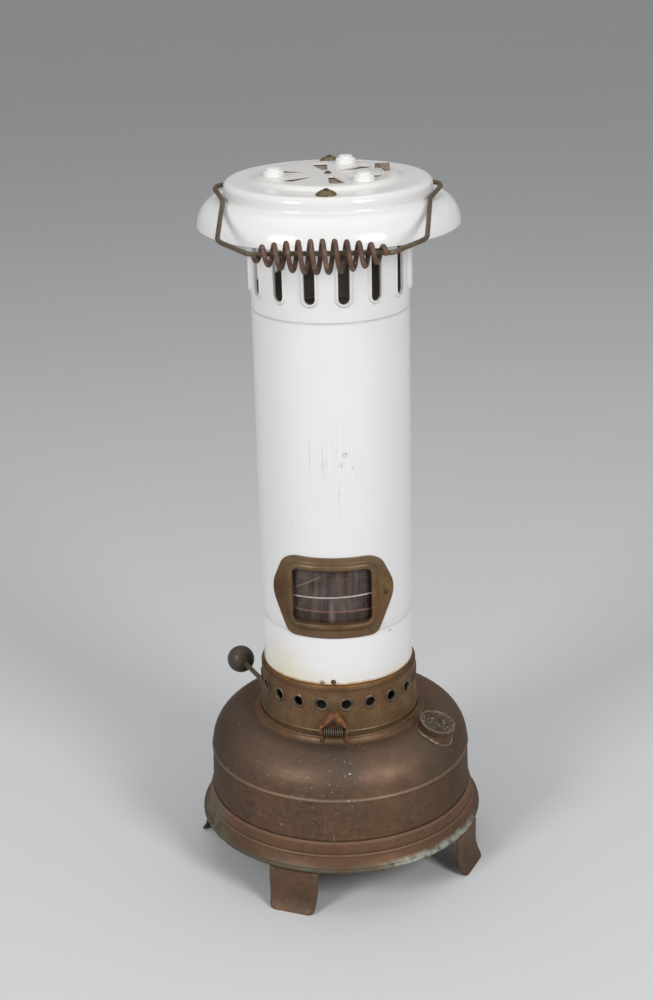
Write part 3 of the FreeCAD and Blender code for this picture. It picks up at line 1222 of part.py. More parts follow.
leaf_bits = []
strap_y = gallery_foot_r + s.solder_gap
for name, x in (("left", -side_end), ("right", side_knuckle)):
    leaf_bits.append(rod(f"column_knuckle_{name}", knuckle_r, s.knuckle_length,
                         x=x, y=hinge_y, z=hinge_z, pitch=90))
    web = block(f"column_web_{name}", s.knuckle_length, hinge_y - strap_y, s.hinge_sheet)
    leaf_bits.append(put(web, x, strap_y, hinge_z - s.hinge_sheet / 2))
strap = block("column_strap", side_end * 2, s.hinge_sheet, s.hinge_strap)
leaf_bits.append(put(strap, -side_end, strap_y, hinge_z - s.hinge_sheet / 2))
keep(cut("hinge_leaf_column", joined("column_leaf_blank", *leaf_bits), hinge_bore))
hinge_pin_length = side_end * 2 + s.hinge_sheet
keep(rod("hinge_pin", s.hinge_pin, hinge_pin_length,
         x=-(hinge_pin_length / 2), y=hinge_y, z=hinge_z, pitch=90))

doc.recompute()
failed = [obj.Label for obj in doc.Objects if {"Invalid", "Error"} & set(obj.State)]
if failed:
    raise RuntimeError("features failed: " + ", ".join(failed))
for node in nodes:
    if node.Shape.isNull() or not node.Shape.isValid() or not node.Shape.Solids:
        raise RuntimeError("bad shape: " + node.Label)

os.makedirs("parts", exist_ok=True)
for node in nodes:
    node.Shape.exportStep(f"parts/{node.Label}.step")
print(len(nodes), "sub-parts written")
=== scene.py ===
import math
import bmesh
import bpy
from mathutils import Matrix, Vector


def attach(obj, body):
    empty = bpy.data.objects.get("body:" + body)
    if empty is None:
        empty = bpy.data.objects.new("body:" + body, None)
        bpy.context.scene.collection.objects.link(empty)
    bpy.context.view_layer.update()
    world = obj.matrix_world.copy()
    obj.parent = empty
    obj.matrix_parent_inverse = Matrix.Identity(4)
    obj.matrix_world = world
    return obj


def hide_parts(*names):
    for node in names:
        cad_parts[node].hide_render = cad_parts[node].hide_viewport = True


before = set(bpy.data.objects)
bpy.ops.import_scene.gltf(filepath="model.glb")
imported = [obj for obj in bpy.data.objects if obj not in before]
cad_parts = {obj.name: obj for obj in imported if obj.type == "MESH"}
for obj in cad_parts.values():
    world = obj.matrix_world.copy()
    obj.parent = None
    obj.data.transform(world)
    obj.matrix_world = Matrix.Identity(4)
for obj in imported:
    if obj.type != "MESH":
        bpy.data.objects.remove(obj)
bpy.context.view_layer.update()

# Tank shell
# Spun from copper sheet: a flat top, a domed shoulder ending in a rolled bead, and a wall that
# flares a little towards its foot. Its skin has gone brown, with redder zones where it was handled.
MM = 0.001


def bow(start, end, radius, steps=14):
    """Points of an arc between two profile points; a positive radius turns left, a negative one right."""
    (x0, z0), (x1, z1) = start, end
    half = math.dist(start, end) / 2
    depth = math.sqrt(max(radius * radius - half * half, 0.0))
    side = 1 if radius > 0 else -1
    mid_x = (x0 + x1) / 2 - side * depth * (z1 - z0) / (2 * half)
    mid_z = (z0 + z1) / 2 + side * depth * (x1 - x0) / (2 * half)
    first = math.atan2(z0 - mid_z, x0 - mid_x)
    sweep = 2 * math.asin(min(half / abs(radius), 1.0)) * side
    turns = [first + sweep * i / steps for i in range(steps + 1)]
    return [(mid_x + abs(radius) * math.cos(t), mid_z + abs(radius) * math.sin(t)) for t in turns]


def eased(profile, radius, steps=3, gentle=0.4, guard=1.8):
    """Closed profile with all but its gentle corners rounded, and a guard point beside each rounding."""
    points = []
    for i, corner in enumerate(profile):
        at = Vector(corner)
        back = Vector(profile[i - 1]) - at
        ahead = Vector(profile[(i + 1) % len(profile)]) - at
        turn = math.pi - back.angle(ahead)
        if turn < gentle or at.x < 1e-6:
            points.append(tuple(at))
            continue
        room = min(back.length, ahead.length)
        cut = min(radius * math.tan(turn / 2), room * 0.4)
        start, end = at + back.normalized() * cut, at + ahead.normalized() * cut
        if room > cut * 4:
            points.append(tuple(at + back.normalized() * cut * guard))
        for k in range(steps + 1):
            t = k / steps
            points.append(tuple(start * (1 - t) ** 2 + at * (2 * t * (1 - t)) + end * t ** 2))
        if room > cut * 4:
            points.append(tuple(at + ahead.normalized() * cut * guard))
    return points


def shade(mesh, sharp):
    """Shades all but the sharp edges smoothly."""
    mesh.polygons.foreach_set("use_smooth", [True] * len(mesh.polygons))
    mesh.set_sharp_from_angle(angle=math.radians(sharp))
    return mesh


def smooth(mesh, sharp=50, merge=1e-7, turn_out=True):
    """Closes seams and poles, turns the faces outwards and shades the mesh."""
    work = bmesh.new()
    work.from_mesh(mesh)
    bmesh.ops.remove_doubles(work, verts=work.verts, dist=merge)
    if turn_out:
        bmesh.ops.recalc_face_normals(work, faces=work.faces)
    work.to_mesh(mesh)
    work.free()
    return shade(mesh, sharp)


def piece(name, mesh):
    obj = bpy.data.objects.new(name, mesh)
    bpy.context.scene.collection.objects.link(obj)
    return obj


def lathe_mesh(name, profile, place=None, turns=192):
    """Mesh of revolution from a closed profile of radius and height in millimetres."""
    angles = [2 * math.pi * k / turns for k in range(turns)]
    verts = [(r * math.cos(a) * MM, r * math.sin(a) * MM, z * MM) for a in angles for r, z in profile]
    size = len(profile)
    faces = []
    for k in range(turns):
        here, there = k * size, (k + 1) % turns * size
        for i in range(size):
            j = (i + 1) % size
            faces.append((here + i, there + i, there + j, here + j))
    mesh = bpy.data.meshes.new(name)
    mesh.from_pydata(verts, [], faces)
    smooth(mesh)
    if place:
        mesh.transform(place)
    return mesh


def node(tree, kind, inputs=(), **settings):
    """Adds a node, sets its properties, and gives each named input a value or a link."""
    made = tree.nodes.new(kind)
    for key, value in settings.items():
        setattr(made, key, value)
    for key, value in dict(inputs).items():
        if isinstance(value, bpy.types.NodeSocket):
            tree.links.new(value, made.inputs[key])
        else:
            made.inputs[key].default_value = value
    return made


def math_node(tree, operation, *values):
    return node(tree, "ShaderNodeMath", dict(enumerate(values)), operation=operation).outputs[0]


def vector_node(tree, operation, *values):
    made = node(tree, "ShaderNodeVectorMath", dict(enumerate(values)), operation=operation)
    return made.outputs["Value" if operation in ("LENGTH", "DOT_PRODUCT") else "Vector"]


def mixed(tree, factor, base, over):
    """Colour that goes from base to over as the factor rises; a plain colour is three numbers."""
    start, end = [(*color, 1) if isinstance(color, tuple) else color for color in (base, over)]
    return node(tree, "ShaderNodeMix", {0: factor, 6: start, 7: end}, data_type="RGBA").outputs[2]


def fall(tree, value, full, gone, clamp=True):
    """Mask that is one at the full level and nothing at the gone level."""
    levels = {"Value": value, "From Min": full, "From Max": gone, "To Min": 1.0, "To Max": 0.0}
    return node(tree, "ShaderNodeMapRange", levels, clamp=clamp).outputs[0]


def spot_of(tree):
    return node(tree, "ShaderNodeTexCoord").outputs["Object"]


def effect(name, inputs):
    """Empty shader node group with named number inputs and one mask as its output."""
    tree = bpy.data.node_groups.new(name, "ShaderNodeTree")
    for label, value in inputs.items():
        socket = tree.interface.new_socket(label, in_out="INPUT", socket_type="NodeSocketFloat")
        socket.default_value = value
    tree.interface.new_socket("Mask", in_out="OUTPUT", socket_type="NodeSocketFloat")
    given = tree.nodes.new("NodeGroupInput").outputs
    return tree, given, spot_of(tree)


def hand_out(tree, cover):
    tree.links.new(cover, tree.nodes.new("NodeGroupOutput").inputs["Mask"])


def both(tree, one, other):
    return math_node(tree, "MULTIPLY", one, other)


def use(tree, group, strength=1.0, label="", **values):
    """Places a node group in a material with its own values and returns its mask at a strength."""
    inputs = {key.title(): value for key, value in values.items()}
    cover = node(tree, "ShaderNodeGroup", inputs, node_tree=group, label=label).outputs["Mask"]
    return cover if strength == 1.0 else both(tree, cover, strength)


def mask(group, strength=1.0, **values):
    """Mask that is placed only when a material is built."""
    return lambda tree: use(tree, group, strength, **values)


def coat(label, color, group, strength=1.0, within=None, **values):
    """Coat that lies over the ones before it where a group's mask is up; a second mask may narrow it."""
    def lay(tree, base):
        cover = use(tree, group, strength, label, **values)
        if within:
            cover = both(tree, cover, within(tree))
        return mixed(tree, cover, base, color(tree) if callable(color) else color)
    return lay


def painted(base, *coats):
    """Colour of a surface: coats laid one after another over a base, which may be painted itself."""
    def color(tree):
        done = base(tree) if callable(base) else base
        for lay in coats:
            done = lay(tree, done)
        return done
    return color


# Cloudy blotches: noise stretched along Z and cut at a threshold
blotches, given, spot = effect("blotches", {"Scale": 20.0, "Stretch": 1.0, "Threshold": 0.5, "Softness": 0.1,
                                            "Seed": 0.0, "Detail": 5.0})
squeeze = node(blotches, "ShaderNodeCombineXYZ", {"X": 1.0, "Y": 1.0, "Z": given["Stretch"]}).outputs[0]
grain = {"Vector": vector_node(blotches, "MULTIPLY", spot, squeeze), "W": given["Seed"],
         "Scale": given["Scale"], "Detail": given["Detail"], "Roughness": 0.6}
cloud = node(blotches, "ShaderNodeTexNoise", grain, noise_dimensions="4D").outputs[0]
hand_out(blotches, fall(blotches, cloud, math_node(blotches, "ADD", given["Threshold"], given["Softness"]),
                        math_node(blotches, "SUBTRACT", given["Threshold"], given["Softness"])))

# Specks: a few round grains, one to a cell, of uneven size
specks, given, spot = effect("specks", {"Scale": 200.0, "Size": 0.2, "Share": 0.1})
cells = node(specks, "ShaderNodeTexVoronoi", {"Vector": spot, "Scale": given["Scale"]})
draw = node(specks, "ShaderNodeSeparateColor", {"Color": cells.outputs["Color"]}).outputs
chosen = math_node(specks, "LESS_THAN", draw[0], given["Share"])
reach = both(specks, given["Size"], draw[1])
inside = math_node(specks, "LESS_THAN", cells.outputs["Distance"], reach)
hand_out(specks, both(specks, chosen, inside))

# Band: full at one height and gone at another, with a ragged edge
band, given, spot = effect("band", {"Full": 0.0, "Gone": 0.01, "Ragged": 0.5, "Scale": 80.0})
level = node(band, "ShaderNodeSeparateXYZ", {0: spot}).outputs[2]
cloud = node(band, "ShaderNodeTexNoise", {"Vector": spot, "Scale": given["Scale"], "Detail": 4.0}).outputs[0]
shift = both(band, math_node(band, "SUBTRACT", cloud, 0.5), given["Ragged"])
slope = fall(band, level, given["Full"], given["Gone"], clamp=False)
hand_out(band, node(band, "ShaderNodeClamp", {0: math_node(band, "ADD", slope, shift)}).outputs[0])

# Stripe: a thin line at a height, which may climb towards the right
stripe, given, spot = effect("stripe", {"Level": 0.0, "Half": 0.001, "Climb": 0.0})
sides = node(stripe, "ShaderNodeSeparateXYZ", {0: spot}).outputs
line = math_node(stripe, "ADD", given["Level"], both(stripe, sides[0], given["Climb"]))
away = math_node(stripe, "ABSOLUTE", math_node(stripe, "SUBTRACT", sides[2], line))
hand_out(stripe, fall(stripe, away, both(stripe, given["Half"], 0.4), given["Half"]))

# Patch: full near a point and gone farther off, squeezed along Z
patch, given, spot = effect("patch", {"X": 0.0, "Y": 0.0, "Z": 0.0, "Full": 0.001, "Gone": 0.002,
                                      "Squeeze": 1.0})
middle = node(patch, "ShaderNodeCombineXYZ", {axis: given[axis] for axis in "XYZ"}).outputs[0]
squeeze = node(patch, "ShaderNodeCombineXYZ", {"X": 1.0, "Y": 1.0, "Z": given["Squeeze"]}).outputs[0]
apart = vector_node(patch, "MULTIPLY", vector_node(patch, "SUBTRACT", spot, middle), squeeze)
hand_out(patch, fall(patch, vector_node(patch, "LENGTH", apart), given["Full"], given["Gone"]))

# Bore: full inside a radius about the column's axis
bore, given, spot = effect("bore", {"Radius": 0.05, "Soft": 0.0005})
flat = vector_node(bore, "MULTIPLY", spot, (1.0, 1.0, 0.0))
hand_out(bore, fall(bore, vector_node(bore, "LENGTH", flat), given["Radius"],
                    math_node(bore, "ADD", given["Radius"], given["Soft"])))


def surface(name, color, roughness, metallic=0.0, bump=None, **plain):
    """Material with one principled shader, from functions that build its colour, roughness and bump."""
    made = bpy.data.materials.new(name)
    made.use_nodes = True
    tree = made.node_tree
    shader = tree.nodes["Principled BSDF"]
    tree.links.new(color(tree), shader.inputs["Base Color"])
    tree.links.new(roughness(tree), shader.inputs["Roughness"])
    for key, value in {"Metallic": metallic, **plain}.items():
        shader.inputs[key].default_value = value
    if bump:
        height, distance = bump(tree)
        raised = node(tree, "ShaderNodeBump", {"Strength": 1.0, "Distance": distance, "Height": height})
        tree.links.new(raised.outputs[0], shader.inputs["Normal"])
    return made


def spread(tree, cover, low, high):
    """Value that runs between two levels as a mask rises."""
    return node(tree, "ShaderNodeMapRange", {"Value": cover, "To Min": low, "To Max": high}).outputs[0]


def wandering(low, high, softness=0.3, **values):
    """Value, such as a roughness, that wanders between two levels in blotches."""
    return lambda tree: spread(tree, use(tree, blotches, softness=softness, **values), low, high)


def bumpy(depth, softness=0.5, **values):
    """Bump of a depth in metres, in blotches."""
    return lambda tree: (use(tree, blotches, softness=softness, **values), depth)


def fit(obj, material, body, slot, *nodes):
    """Gives a finished piece its material, the solids it stands for and the body it rides on; the slot is not
    used.
    """
    obj.data.materials.clear()
    obj.data.materials.append(material)
    if nodes:
        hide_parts(*nodes)
    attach(obj, body)


def turned(name, profile, material, body, slot, place=None, turns=192):
    """Lathed piece that stands for the solid of its own name."""
    fit(piece(name, lathe_mesh(name, profile, place, turns)), material, body, slot, name)


copper_color = painted(
    (0.056, 0.039, 0.027),
    coat("clouds", (0.124, 0.075, 0.046), blotches, scale=10, threshold=0.48, softness=0.16, seed=3),
    coat("warm", (0.180, 0.082, 0.044), blotches, 0.75, scale=22, threshold=0.53, softness=0.12, seed=8),
    coat("cool", (0.094, 0.078, 0.050), blotches, 0.65, scale=27, threshold=0.55, seed=18),
    coat("mottle", (0.205, 0.118, 0.074), blotches, 0.4, scale=95, threshold=0.53, softness=0.12, seed=19),
    coat("spun", (0.195, 0.122, 0.082), blotches, 0.36, scale=18, stretch=30, threshold=0.52, softness=0.2,
         seed=5),
    coat("rubbed", (0.060, 0.040, 0.028), blotches, 0.3, scale=70, stretch=14, threshold=0.56, softness=0.12,
         seed=29),
    coat("grain", (0.046, 0.030, 0.022), blotches, 0.4, scale=300, threshold=0.55, softness=0.12, seed=2))
dusty = mask(patch, x=-0.012, y=-0.105, z=0.135, full=0.030, gone=0.080)
tank_color = painted(
    copper_color,
    coat("dome", (0.150, 0.116, 0.092), band, 0.35, full=0.142, gone=0.116, ragged=0.9, scale=26),
    # A painted highlight: a broad warm patch on the dome's front right.
    coat("painted_dome_highlight", (0.225, 0.125, 0.078), patch, 0.7, within=mask(blotches, scale=60, softness=0.2, seed=33),
         x=0.046, y=-0.102, z=0.126, full=0.008, gone=0.042),
    coat("dusk", (0.078, 0.068, 0.058), patch, 0.6, x=0.012, y=-0.110, z=0.136, full=0.005, gone=0.026),
    # Painted shade on the tank's left and right sides, where the wall turns away from the lamps.
    coat("painted_shade_left", (0.046, 0.034, 0.025), patch, 0.7, x=-0.125, y=-0.030, z=0.100, full=0.030, gone=0.095),
    coat("painted_shade_right", (0.050, 0.034, 0.023), patch, 0.6, x=0.125, y=-0.030, z=0.090, full=0.030, gone=0.090),
    # A painted highlight along the shoulder bead.
    coat("painted_bead_highlight", (0.25, 0.180, 0.125), stripe, 0.55, level=0.1160, half=0.0022),
    # A painted shadow on the wall just above the base ring.
    coat("joint", (0.036, 0.023, 0.016), stripe, 0.6, level=0.0732, half=0.0013),
    coat("fine dust", (0.36, 0.30, 0.22), specks, 0.8, dusty, scale=420, size=0.36, share=0.13),
    coat("coarse dust", (0.50, 0.44, 0.35), specks, 0.9, dusty, scale=120, size=0.2, share=0.05),
    coat("stray dust", (0.40, 0.33, 0.25), specks, 0.7, scale=260, size=0.3, share=0.012),
    coat("pits", (0.055, 0.034, 0.024), specks, scale=42, size=0.12, share=0.03),
    coat("scratch", (0.42, 0.34, 0.27), patch, 0.7, x=0.0012, y=-0.1290, z=0.076, full=0.0001, gone=0.0005,
         squeeze=0.08),
    coat("long scratch", (0.26, 0.20, 0.15), patch, 0.4, x=-0.0075, y=-0.1284, z=0.090, full=0.0001,
         gone=0.0006, squeeze=0.06))
copper_roughness = wandering(0.40, 0.60, scale=45, seed=4)
copper_bump = bumpy(0.0002, scale=28, stretch=10, seed=6)
dull = {"Specular IOR Level": 0.3, "Specular Tint": (0.52, 0.42, 0.34, 1)}
tank_copper = surface("tank_copper", tank_color, copper_roughness, 0.45, copper_bump, **dull)
top_z, shoulder_z, ring_z, base_z = 152.5, 116.5, 72.5, 43.0
dome_start, tank_r, tank_foot_r, tank_sheet = 87.1, 127.8, 129.0, 1.2
dome_bend = 36.27
tank_profile = [(45.0, top_z)]
tank_profile += bow((dome_start, top_z), (tank_r, shoulder_z), -dome_bend, 30)
tank_profile += bow((tank_r, shoulder_z), (tank_r, shoulder_z - 3.0), -1.8, 8)[1:]
tank_profile += [(tank_r + 0.1, shoulder_z - 6.0), (tank_foot_r, ring_z), (tank_foot_r, base_z)]
tank_profile += [(tank_foot_r - tank_sheet, base_z), (tank_r - tank_sheet, shoulder_z)]
tank_profile += bow((tank_r - tank_sheet, shoulder_z), (dome_start, top_z - tank_sheet), dome_bend, 30)[1:]
tank_profile += [(45.0, top_z - tank_sheet)]
turned("tank_shell", tank_profile, tank_copper, "base", "copper")

# Tank bottom
# A flat copper disc soldered inside the foot of the shell, with a hole for the draught tube.
plain_copper = surface("plain_copper", copper_color, copper_roughness, 0.45, copper_bump, **dull)
bottom = eased([(35.6, base_z), (127.7, base_z), (127.7, base_z + 1.2), (35.6, base_z + 1.2)], 0.3)
turned("tank_base", bottom, plain_copper, "base", "copper")

# Base ring
# A copper band pressed round the foot of the tank, with a swelling, a bead and a flare to a rolled
# rim. Verdigris sits in the roll, with a pale crust at the front right.


def crust(tree):
    front_right = use(tree, patch, x=0.106, y=-0.092, z=0.047, full=0.040, gone=0.078)
    return both(tree, front_right, use(tree, band, full=0.0475, gone=0.0515, ragged=1.2, scale=90))


rim_color = painted(
    copper_color,
    coat("shine", (0.190, 0.084, 0.050), blotches, 0.6, scale=17, stretch=2, softness=0.16, seed=9),
    # A painted highlight along the ring's rounded upper edge.
    coat("painted_ring_edge_highlight", (0.24, 0.150, 0.105), stripe, 0.5, level=0.0712, half=0.0016),
    coat("bead shadow", (0.044, 0.028, 0.020), stripe, 0.5, level=0.0612, half=0.0011),
    # The bead coat is a painted highlight along the ring's bead.
    coat("bead", (0.225, 0.150, 0.105), stripe, 0.5, level=0.0586, half=0.0022),
    coat("flare", (0.066, 0.044, 0.030), band, 0.4, full=0.0500, gone=0.0570, ragged=0.6, scale=40),
    coat("verdigris", (0.098, 0.106, 0.076), band, within=wandering(0.45, 1.0, 0.1, scale=42, seed=1),
         full=0.0455, gone=0.0510, ragged=1.5, scale=60),
    coat("left", (0.150, 0.165, 0.125), patch, within=mask(blotches, 0.7, scale=75, seed=77), x=-0.128,
         y=-0.050, z=0.052, full=0.020, gone=0.050),
    coat("salt", (0.36, 0.38, 0.32), blotches, 0.9, crust, scale=130, threshold=0.46, seed=7))
ring_copper = surface("ring_copper", rim_color, copper_roughness, 0.45, copper_bump, **dull)
ring_inner, ring_outer, ring_sheet = 129.1, 130.3, 1.2
swell_r, swell_z, bead = 132.7, 60.7, 3.6
rim_mid, rim_roll, rim_low = 138.2, 2.2, 43.2
rim_high = rim_low + 2 * rim_roll
ring_profile = [(ring_inner, ring_z), (ring_outer - 0.5, ring_z), (ring_outer, ring_z - 0.6)]
ring_profile += bow((ring_outer, ring_z - 1.0), (swell_r, swell_z), -46.0, 12)
ring_profile += bow((swell_r, swell_z), (swell_r, swell_z - bead), -1.98, 8)[1:]
ring_profile += bow((swell_r, swell_z - bead), (rim_mid, rim_high), 29.5, 10)[1:]
ring_profile += bow((rim_mid, rim_high), (rim_mid, rim_low), -rim_roll * 1.02, 14)[1:]
ring_profile += bow((rim_mid, rim_low), (rim_mid - ring_sheet, rim_high), -rim_roll * 1.1, 12)[1:]
ring_profile += [(swell_r - ring_sheet, swell_z - bead), (swell_r - ring_sheet, swell_z)]
turned("base_ring", ring_profile, ring_copper, "base", "copper")

# Feet
# Four copper strips, bent in under the tank and soldered to its bottom, drawn a little narrower
# downwards and splayed out at the toe.


def turned_to(bearing):
    """Turn about Z that takes a piece built towards +X to a bearing counted from the front to the right."""
    return Matrix.Rotation(math.radians(bearing - 90), 4, "Z")


foot_outer, foot_sheet, toe_bend, toe_height, foot_flange = 137.4, 2.0, 36.0, 23.0, 26.0
foot_half, toe_half, toe_corner = 24.5, 22.5, 5.0
toe_centre = foot_outer + toe_bend
foot_inner = foot_outer - foot_sheet
foot_in = foot_outer - foot_flange
toe_out = toe_centre - math.sqrt(toe_bend ** 2 - toe_height ** 2)
sole_in = toe_centre - math.sqrt((toe_bend + foot_sheet) ** 2 - toe_height ** 2)
front_line = [(foot_in, base_z - 0.1), (foot_outer - 3.0, base_z - 0.1), (foot_outer, base_z - 2.5)]
front_line += bow((foot_outer, toe_height), (toe_out, 0.0), toe_bend, 16)
flange_z = base_z - foot_sheet
back_line = [(foot_in, flange_z), (foot_inner - 2.5, flange_z), (foot_inner, base_z - 3.5)]
back_line += bow((foot_inner, toe_height), (sole_in, 0.0), toe_bend + foot_sheet, 16)


def foot_width(z):
    """Half width of the strip at a height, with its two lower corners rounded off."""
    straight = toe_half + (foot_half - toe_half) * min(max(z / toe_height, 0.0), 1.0)
    short = max(toe_corner - z, 0.0)
    return straight - toe_corner + math.sqrt(toe_corner ** 2 - short ** 2) if short else straight


def finished(work, name):
    """Mesh of a bmesh that is done."""
    mesh = bpy.data.meshes.new(name)
    work.to_mesh(mesh)
    work.free()
    return mesh


def slab(work, front, back):
    """Closes two grids of points, the front and the back of a sheet, into one skin."""
    rows, columns = len(front) - 1, len(front[0]) - 1
    for i in range(rows):
        for k in range(columns):
            for side in (front, back):
                work.faces.new((side[i][k], side[i + 1][k], side[i + 1][k + 1], side[i][k + 1]))
        for k in (0, columns):
            work.faces.new((front[i][k], front[i + 1][k], back[i + 1][k], back[i][k]))
    for i in (0, rows):
        for k in range(columns):
            work.faces.new((front[i][k], front[i][k + 1], back[i][k + 1], back[i][k]))


foot = bmesh.new()
columns = 9
sheets = []
for line in (front_line, back_line):
    rows = []
    for r, z in line:
        half = foot_width(z)
        rows.append([foot.verts.new((r * MM, half * (2 * k / (columns - 1) - 1) * MM, z * MM))
                     for k in range(columns)])
    sheets.append(rows)
slab(foot, *sheets)
bmesh.ops.recalc_face_normals(foot, faces=foot.faces)
sharp_edges = [e for e in foot.edges if e.calc_face_angle(0) > math.radians(60)]
bmesh.ops.bevel(foot, geom=sharp_edges, offset=0.35 * MM, segments=2, profile=0.5, affect="EDGES",
                clamp_overlap=True)
foot_mesh = smooth(finished(foot, "foot"))
foot_color = painted(
    copper_color,
    coat("drawn", (0.140, 0.086, 0.056), blotches, 0.35, scale=90, stretch=0.06, softness=0.25, seed=16),
    coat("grime", (0.060, 0.040, 0.027), band, 0.35, full=0.002, gone=0.040, ragged=0.8, scale=40))
foot_copper = surface("foot_copper", foot_color, copper_roughness, 0.35, copper_bump, **dull)
for side, bearing in (("front", -16.4), ("right", 68.6), ("rear", 163.6), ("left", -101.4)):
    turned_foot = foot_mesh.copy()
    turned_foot.transform(turned_to(bearing))
    fit(piece("foot_" + side, turned_foot), foot_copper, "base", "copper", "foot_" + side)

# Tank collar
# A turned brass ring soldered to the tank's top: a ledge that carries the column, a lip round the
# column's foot and a hollow flare down to the copper.
brass_color = painted(
    (0.118, 0.062, 0.034),
    coat("clouds", (0.142, 0.104, 0.052), blotches, scale=26, threshold=0.53, softness=0.12, seed=11),
    coat("stain", (0.045, 0.032, 0.022), blotches, 0.7, scale=60, threshold=0.58, softness=0.12, seed=12),
    coat("fine", (0.25, 0.17, 0.09), blotches, 0.38, scale=220, threshold=0.55, softness=0.2, seed=13))
brass_roughness = wandering(0.34, 0.55, scale=50, seed=14)
brass_bump = bumpy(0.0001, scale=180, seed=15)
aged_brass = surface("aged_brass", brass_color, brass_roughness, 0.5, brass_bump, **dull)
collar_profile = [(73.0, 152.6)] + bow((84.9, 152.6), (80.7, 157.6), -7.4, 12)
collar_profile += bow((80.7, 157.6), (78.5, 158.7), 1.6, 8)[1:] + [(78.5, 154.7), (73.0, 154.7)]
collar_brass_color = painted(
    brass_color,
    coat("warm", (0.150, 0.078, 0.047), blotches, 0.75, scale=30, threshold=0.47, softness=0.12, seed=14),
    coat("green", (0.130, 0.125, 0.085), blotches, 0.5, scale=75, threshold=0.6, softness=0.08, seed=15))
collar_brass = surface("collar_brass", collar_brass_color, brass_roughness, 0.45, brass_bump, **dull)
turned("tank_collar", collar_profile, collar_brass, "base", "aged_brass")

# Filler neck
# A brass boss on a saddle that is soldered to the dome; bright solder shows along the saddle's edge.
filler_bearing, filler_reach, filler_lean = 65.0, 106.1, math.radians(17.99)
dome_mid = tank_r - dome_bend


def dome_height(radius):
    return shoulder_z + math.sqrt(max(dome_bend ** 2 - max(radius - dome_mid, 0.0) ** 2, 0.0))


filler_foot = turned_to(filler_bearing) @ Vector((filler_reach, 0, dome_height(filler_reach)))
filler_place = Matrix.Translation(filler_foot * MM) @ turned_to(filler_bearing)
filler_place = filler_place @ Matrix.Rotation(filler_lean, 4, "Y")
filler_axis = filler_place.to_3x3() @ Vector((0, 0, 1))
neck_profile = eased([(12.5, -6.0), (17.0, -6.0), (17.0, 2.0), (15.0, 2.2), (15.0, 6.2), (12.5, 6.2)], 0.4)
turned("filler_neck", neck_profile, plain_copper, "base", "aged_brass", filler_place, 96)


def saddle_point(turn, radius, lift):
    """Point on the dome's skin at a distance from the filler's axis, raised a little."""
    across = filler_place.to_3x3() @ Vector((radius * math.cos(turn), radius * math.sin(turn), 0))
    at = filler_foot + across
    for _ in range(8):
        at = at + filler_axis * (dome_height(math.hypot(at.x, at.y)) - at.z)
    return (at + filler_axis * lift) * MM


def joined(work, loops):
    """Joins closed loops of points, each to the next and the last to the first."""
    for inner, outer in zip(loops, loops[1:] + loops[:1]):
        for k in range(len(inner)):
            j = (k + 1) % len(inner)
            work.faces.new((inner[k], inner[j], outer[j], outer[k]))


saddle_section = ((16.6, -0.5), (16.6, 1.6), (17.6, 1.1), (18.6, 0.75), (19.3, 0.35), (19.5, -0.5))
saddle = bmesh.new()
steps = 96
loops = [[saddle.verts.new(saddle_point(2 * math.pi * k / steps, radius, lift)) for k in range(steps)]
         for radius, lift in saddle_section]
joined(saddle, loops)
saddle_mesh = smooth(finished(saddle, "filler_saddle"))


def from_filler(tree):
    """Distance from the filler's axis."""
    apart = vector_node(tree, "SUBTRACT", spot_of(tree), tuple(filler_foot * MM))
    return vector_node(tree, "LENGTH", vector_node(tree, "CROSS_PRODUCT", apart, tuple(filler_axis)))


def solder_color(tree):
    edge = math_node(tree, "ABSOLUTE", math_node(tree, "SUBTRACT", from_filler(tree), 0.0188))
    worn = use(tree, blotches, 0.9, scale=150, threshold=0.47, seed=21)
    line = both(tree, fall(tree, edge, 0.0002, 0.0006), worn)
    return mixed(tree, line, copper_color(tree), (0.38, 0.32, 0.23))


solder = surface("solder_line", solder_color, brass_roughness, 0.5, brass_bump, **dull)
fit(piece("filler_saddle", saddle_mesh), solder, "base", "aged_brass")

# Cap seal
# A leather washer that is squeezed between the boss and the cap.
leather_color = painted(
    (0.035, 0.02, 0.013),
    coat("grain", (0.075, 0.043, 0.026), blotches, scale=300, softness=0.3, seed=22))
leather_roughness = wandering(0.55, 0.75, scale=200, seed=23)
leather = surface("oiled_leather", leather_color, leather_roughness)
seal_profile = eased([(12.5, 6.5), (15.0, 6.5), (15.0, 7.1), (12.5, 7.1)], 0.15)
turned("cap_seal", seal_profile, leather, "seal", "leather", filler_place, 96)

# Filler cap
# A brass screw cap with a rim round its top. Its top is worn, speckled and rusty in the middle; the
# side is brown.
cap_crown = 8.4
cap_wear = dict(scale=110, softness=0.14, seed=24)
cap_hub = filler_place @ Vector((0, 0, cap_crown * MM))


def painted_rim_highlight(tree, base):
    """Coat of painted highlight on the rim round the cap's top, broken up in blotches."""
    apart = math_node(tree, "ABSOLUTE", math_node(tree, "SUBTRACT", from_filler(tree), 0.0168))
    bright = both(tree, fall(tree, apart, 0.0006, 0.0012), wandering(0.3, 0.75, **cap_wear)(tree))
    return mixed(tree, bright, base, (0.27, 0.225, 0.155))


cap_top_color = painted(
    (0.060, 0.042, 0.028),
    coat("worn", (0.118, 0.094, 0.064), blotches, **cap_wear),
    coat("rusty", (0.070, 0.032, 0.020), patch, 0.5, mask(blotches, scale=240, threshold=0.47, seed=25),
         x=cap_hub.x, y=cap_hub.y, z=cap_hub.z, full=0.003, gone=0.010),
    coat("pale grit", (0.42, 0.38, 0.31), specks, 0.9, scale=540, size=0.5, share=0.34),
    coat("dark pits", (0.036, 0.024, 0.017), specks, 0.8, scale=330, size=0.5, share=0.3),
    # The last coat is a painted highlight on the rim round the cap's top.
    painted_rim_highlight)


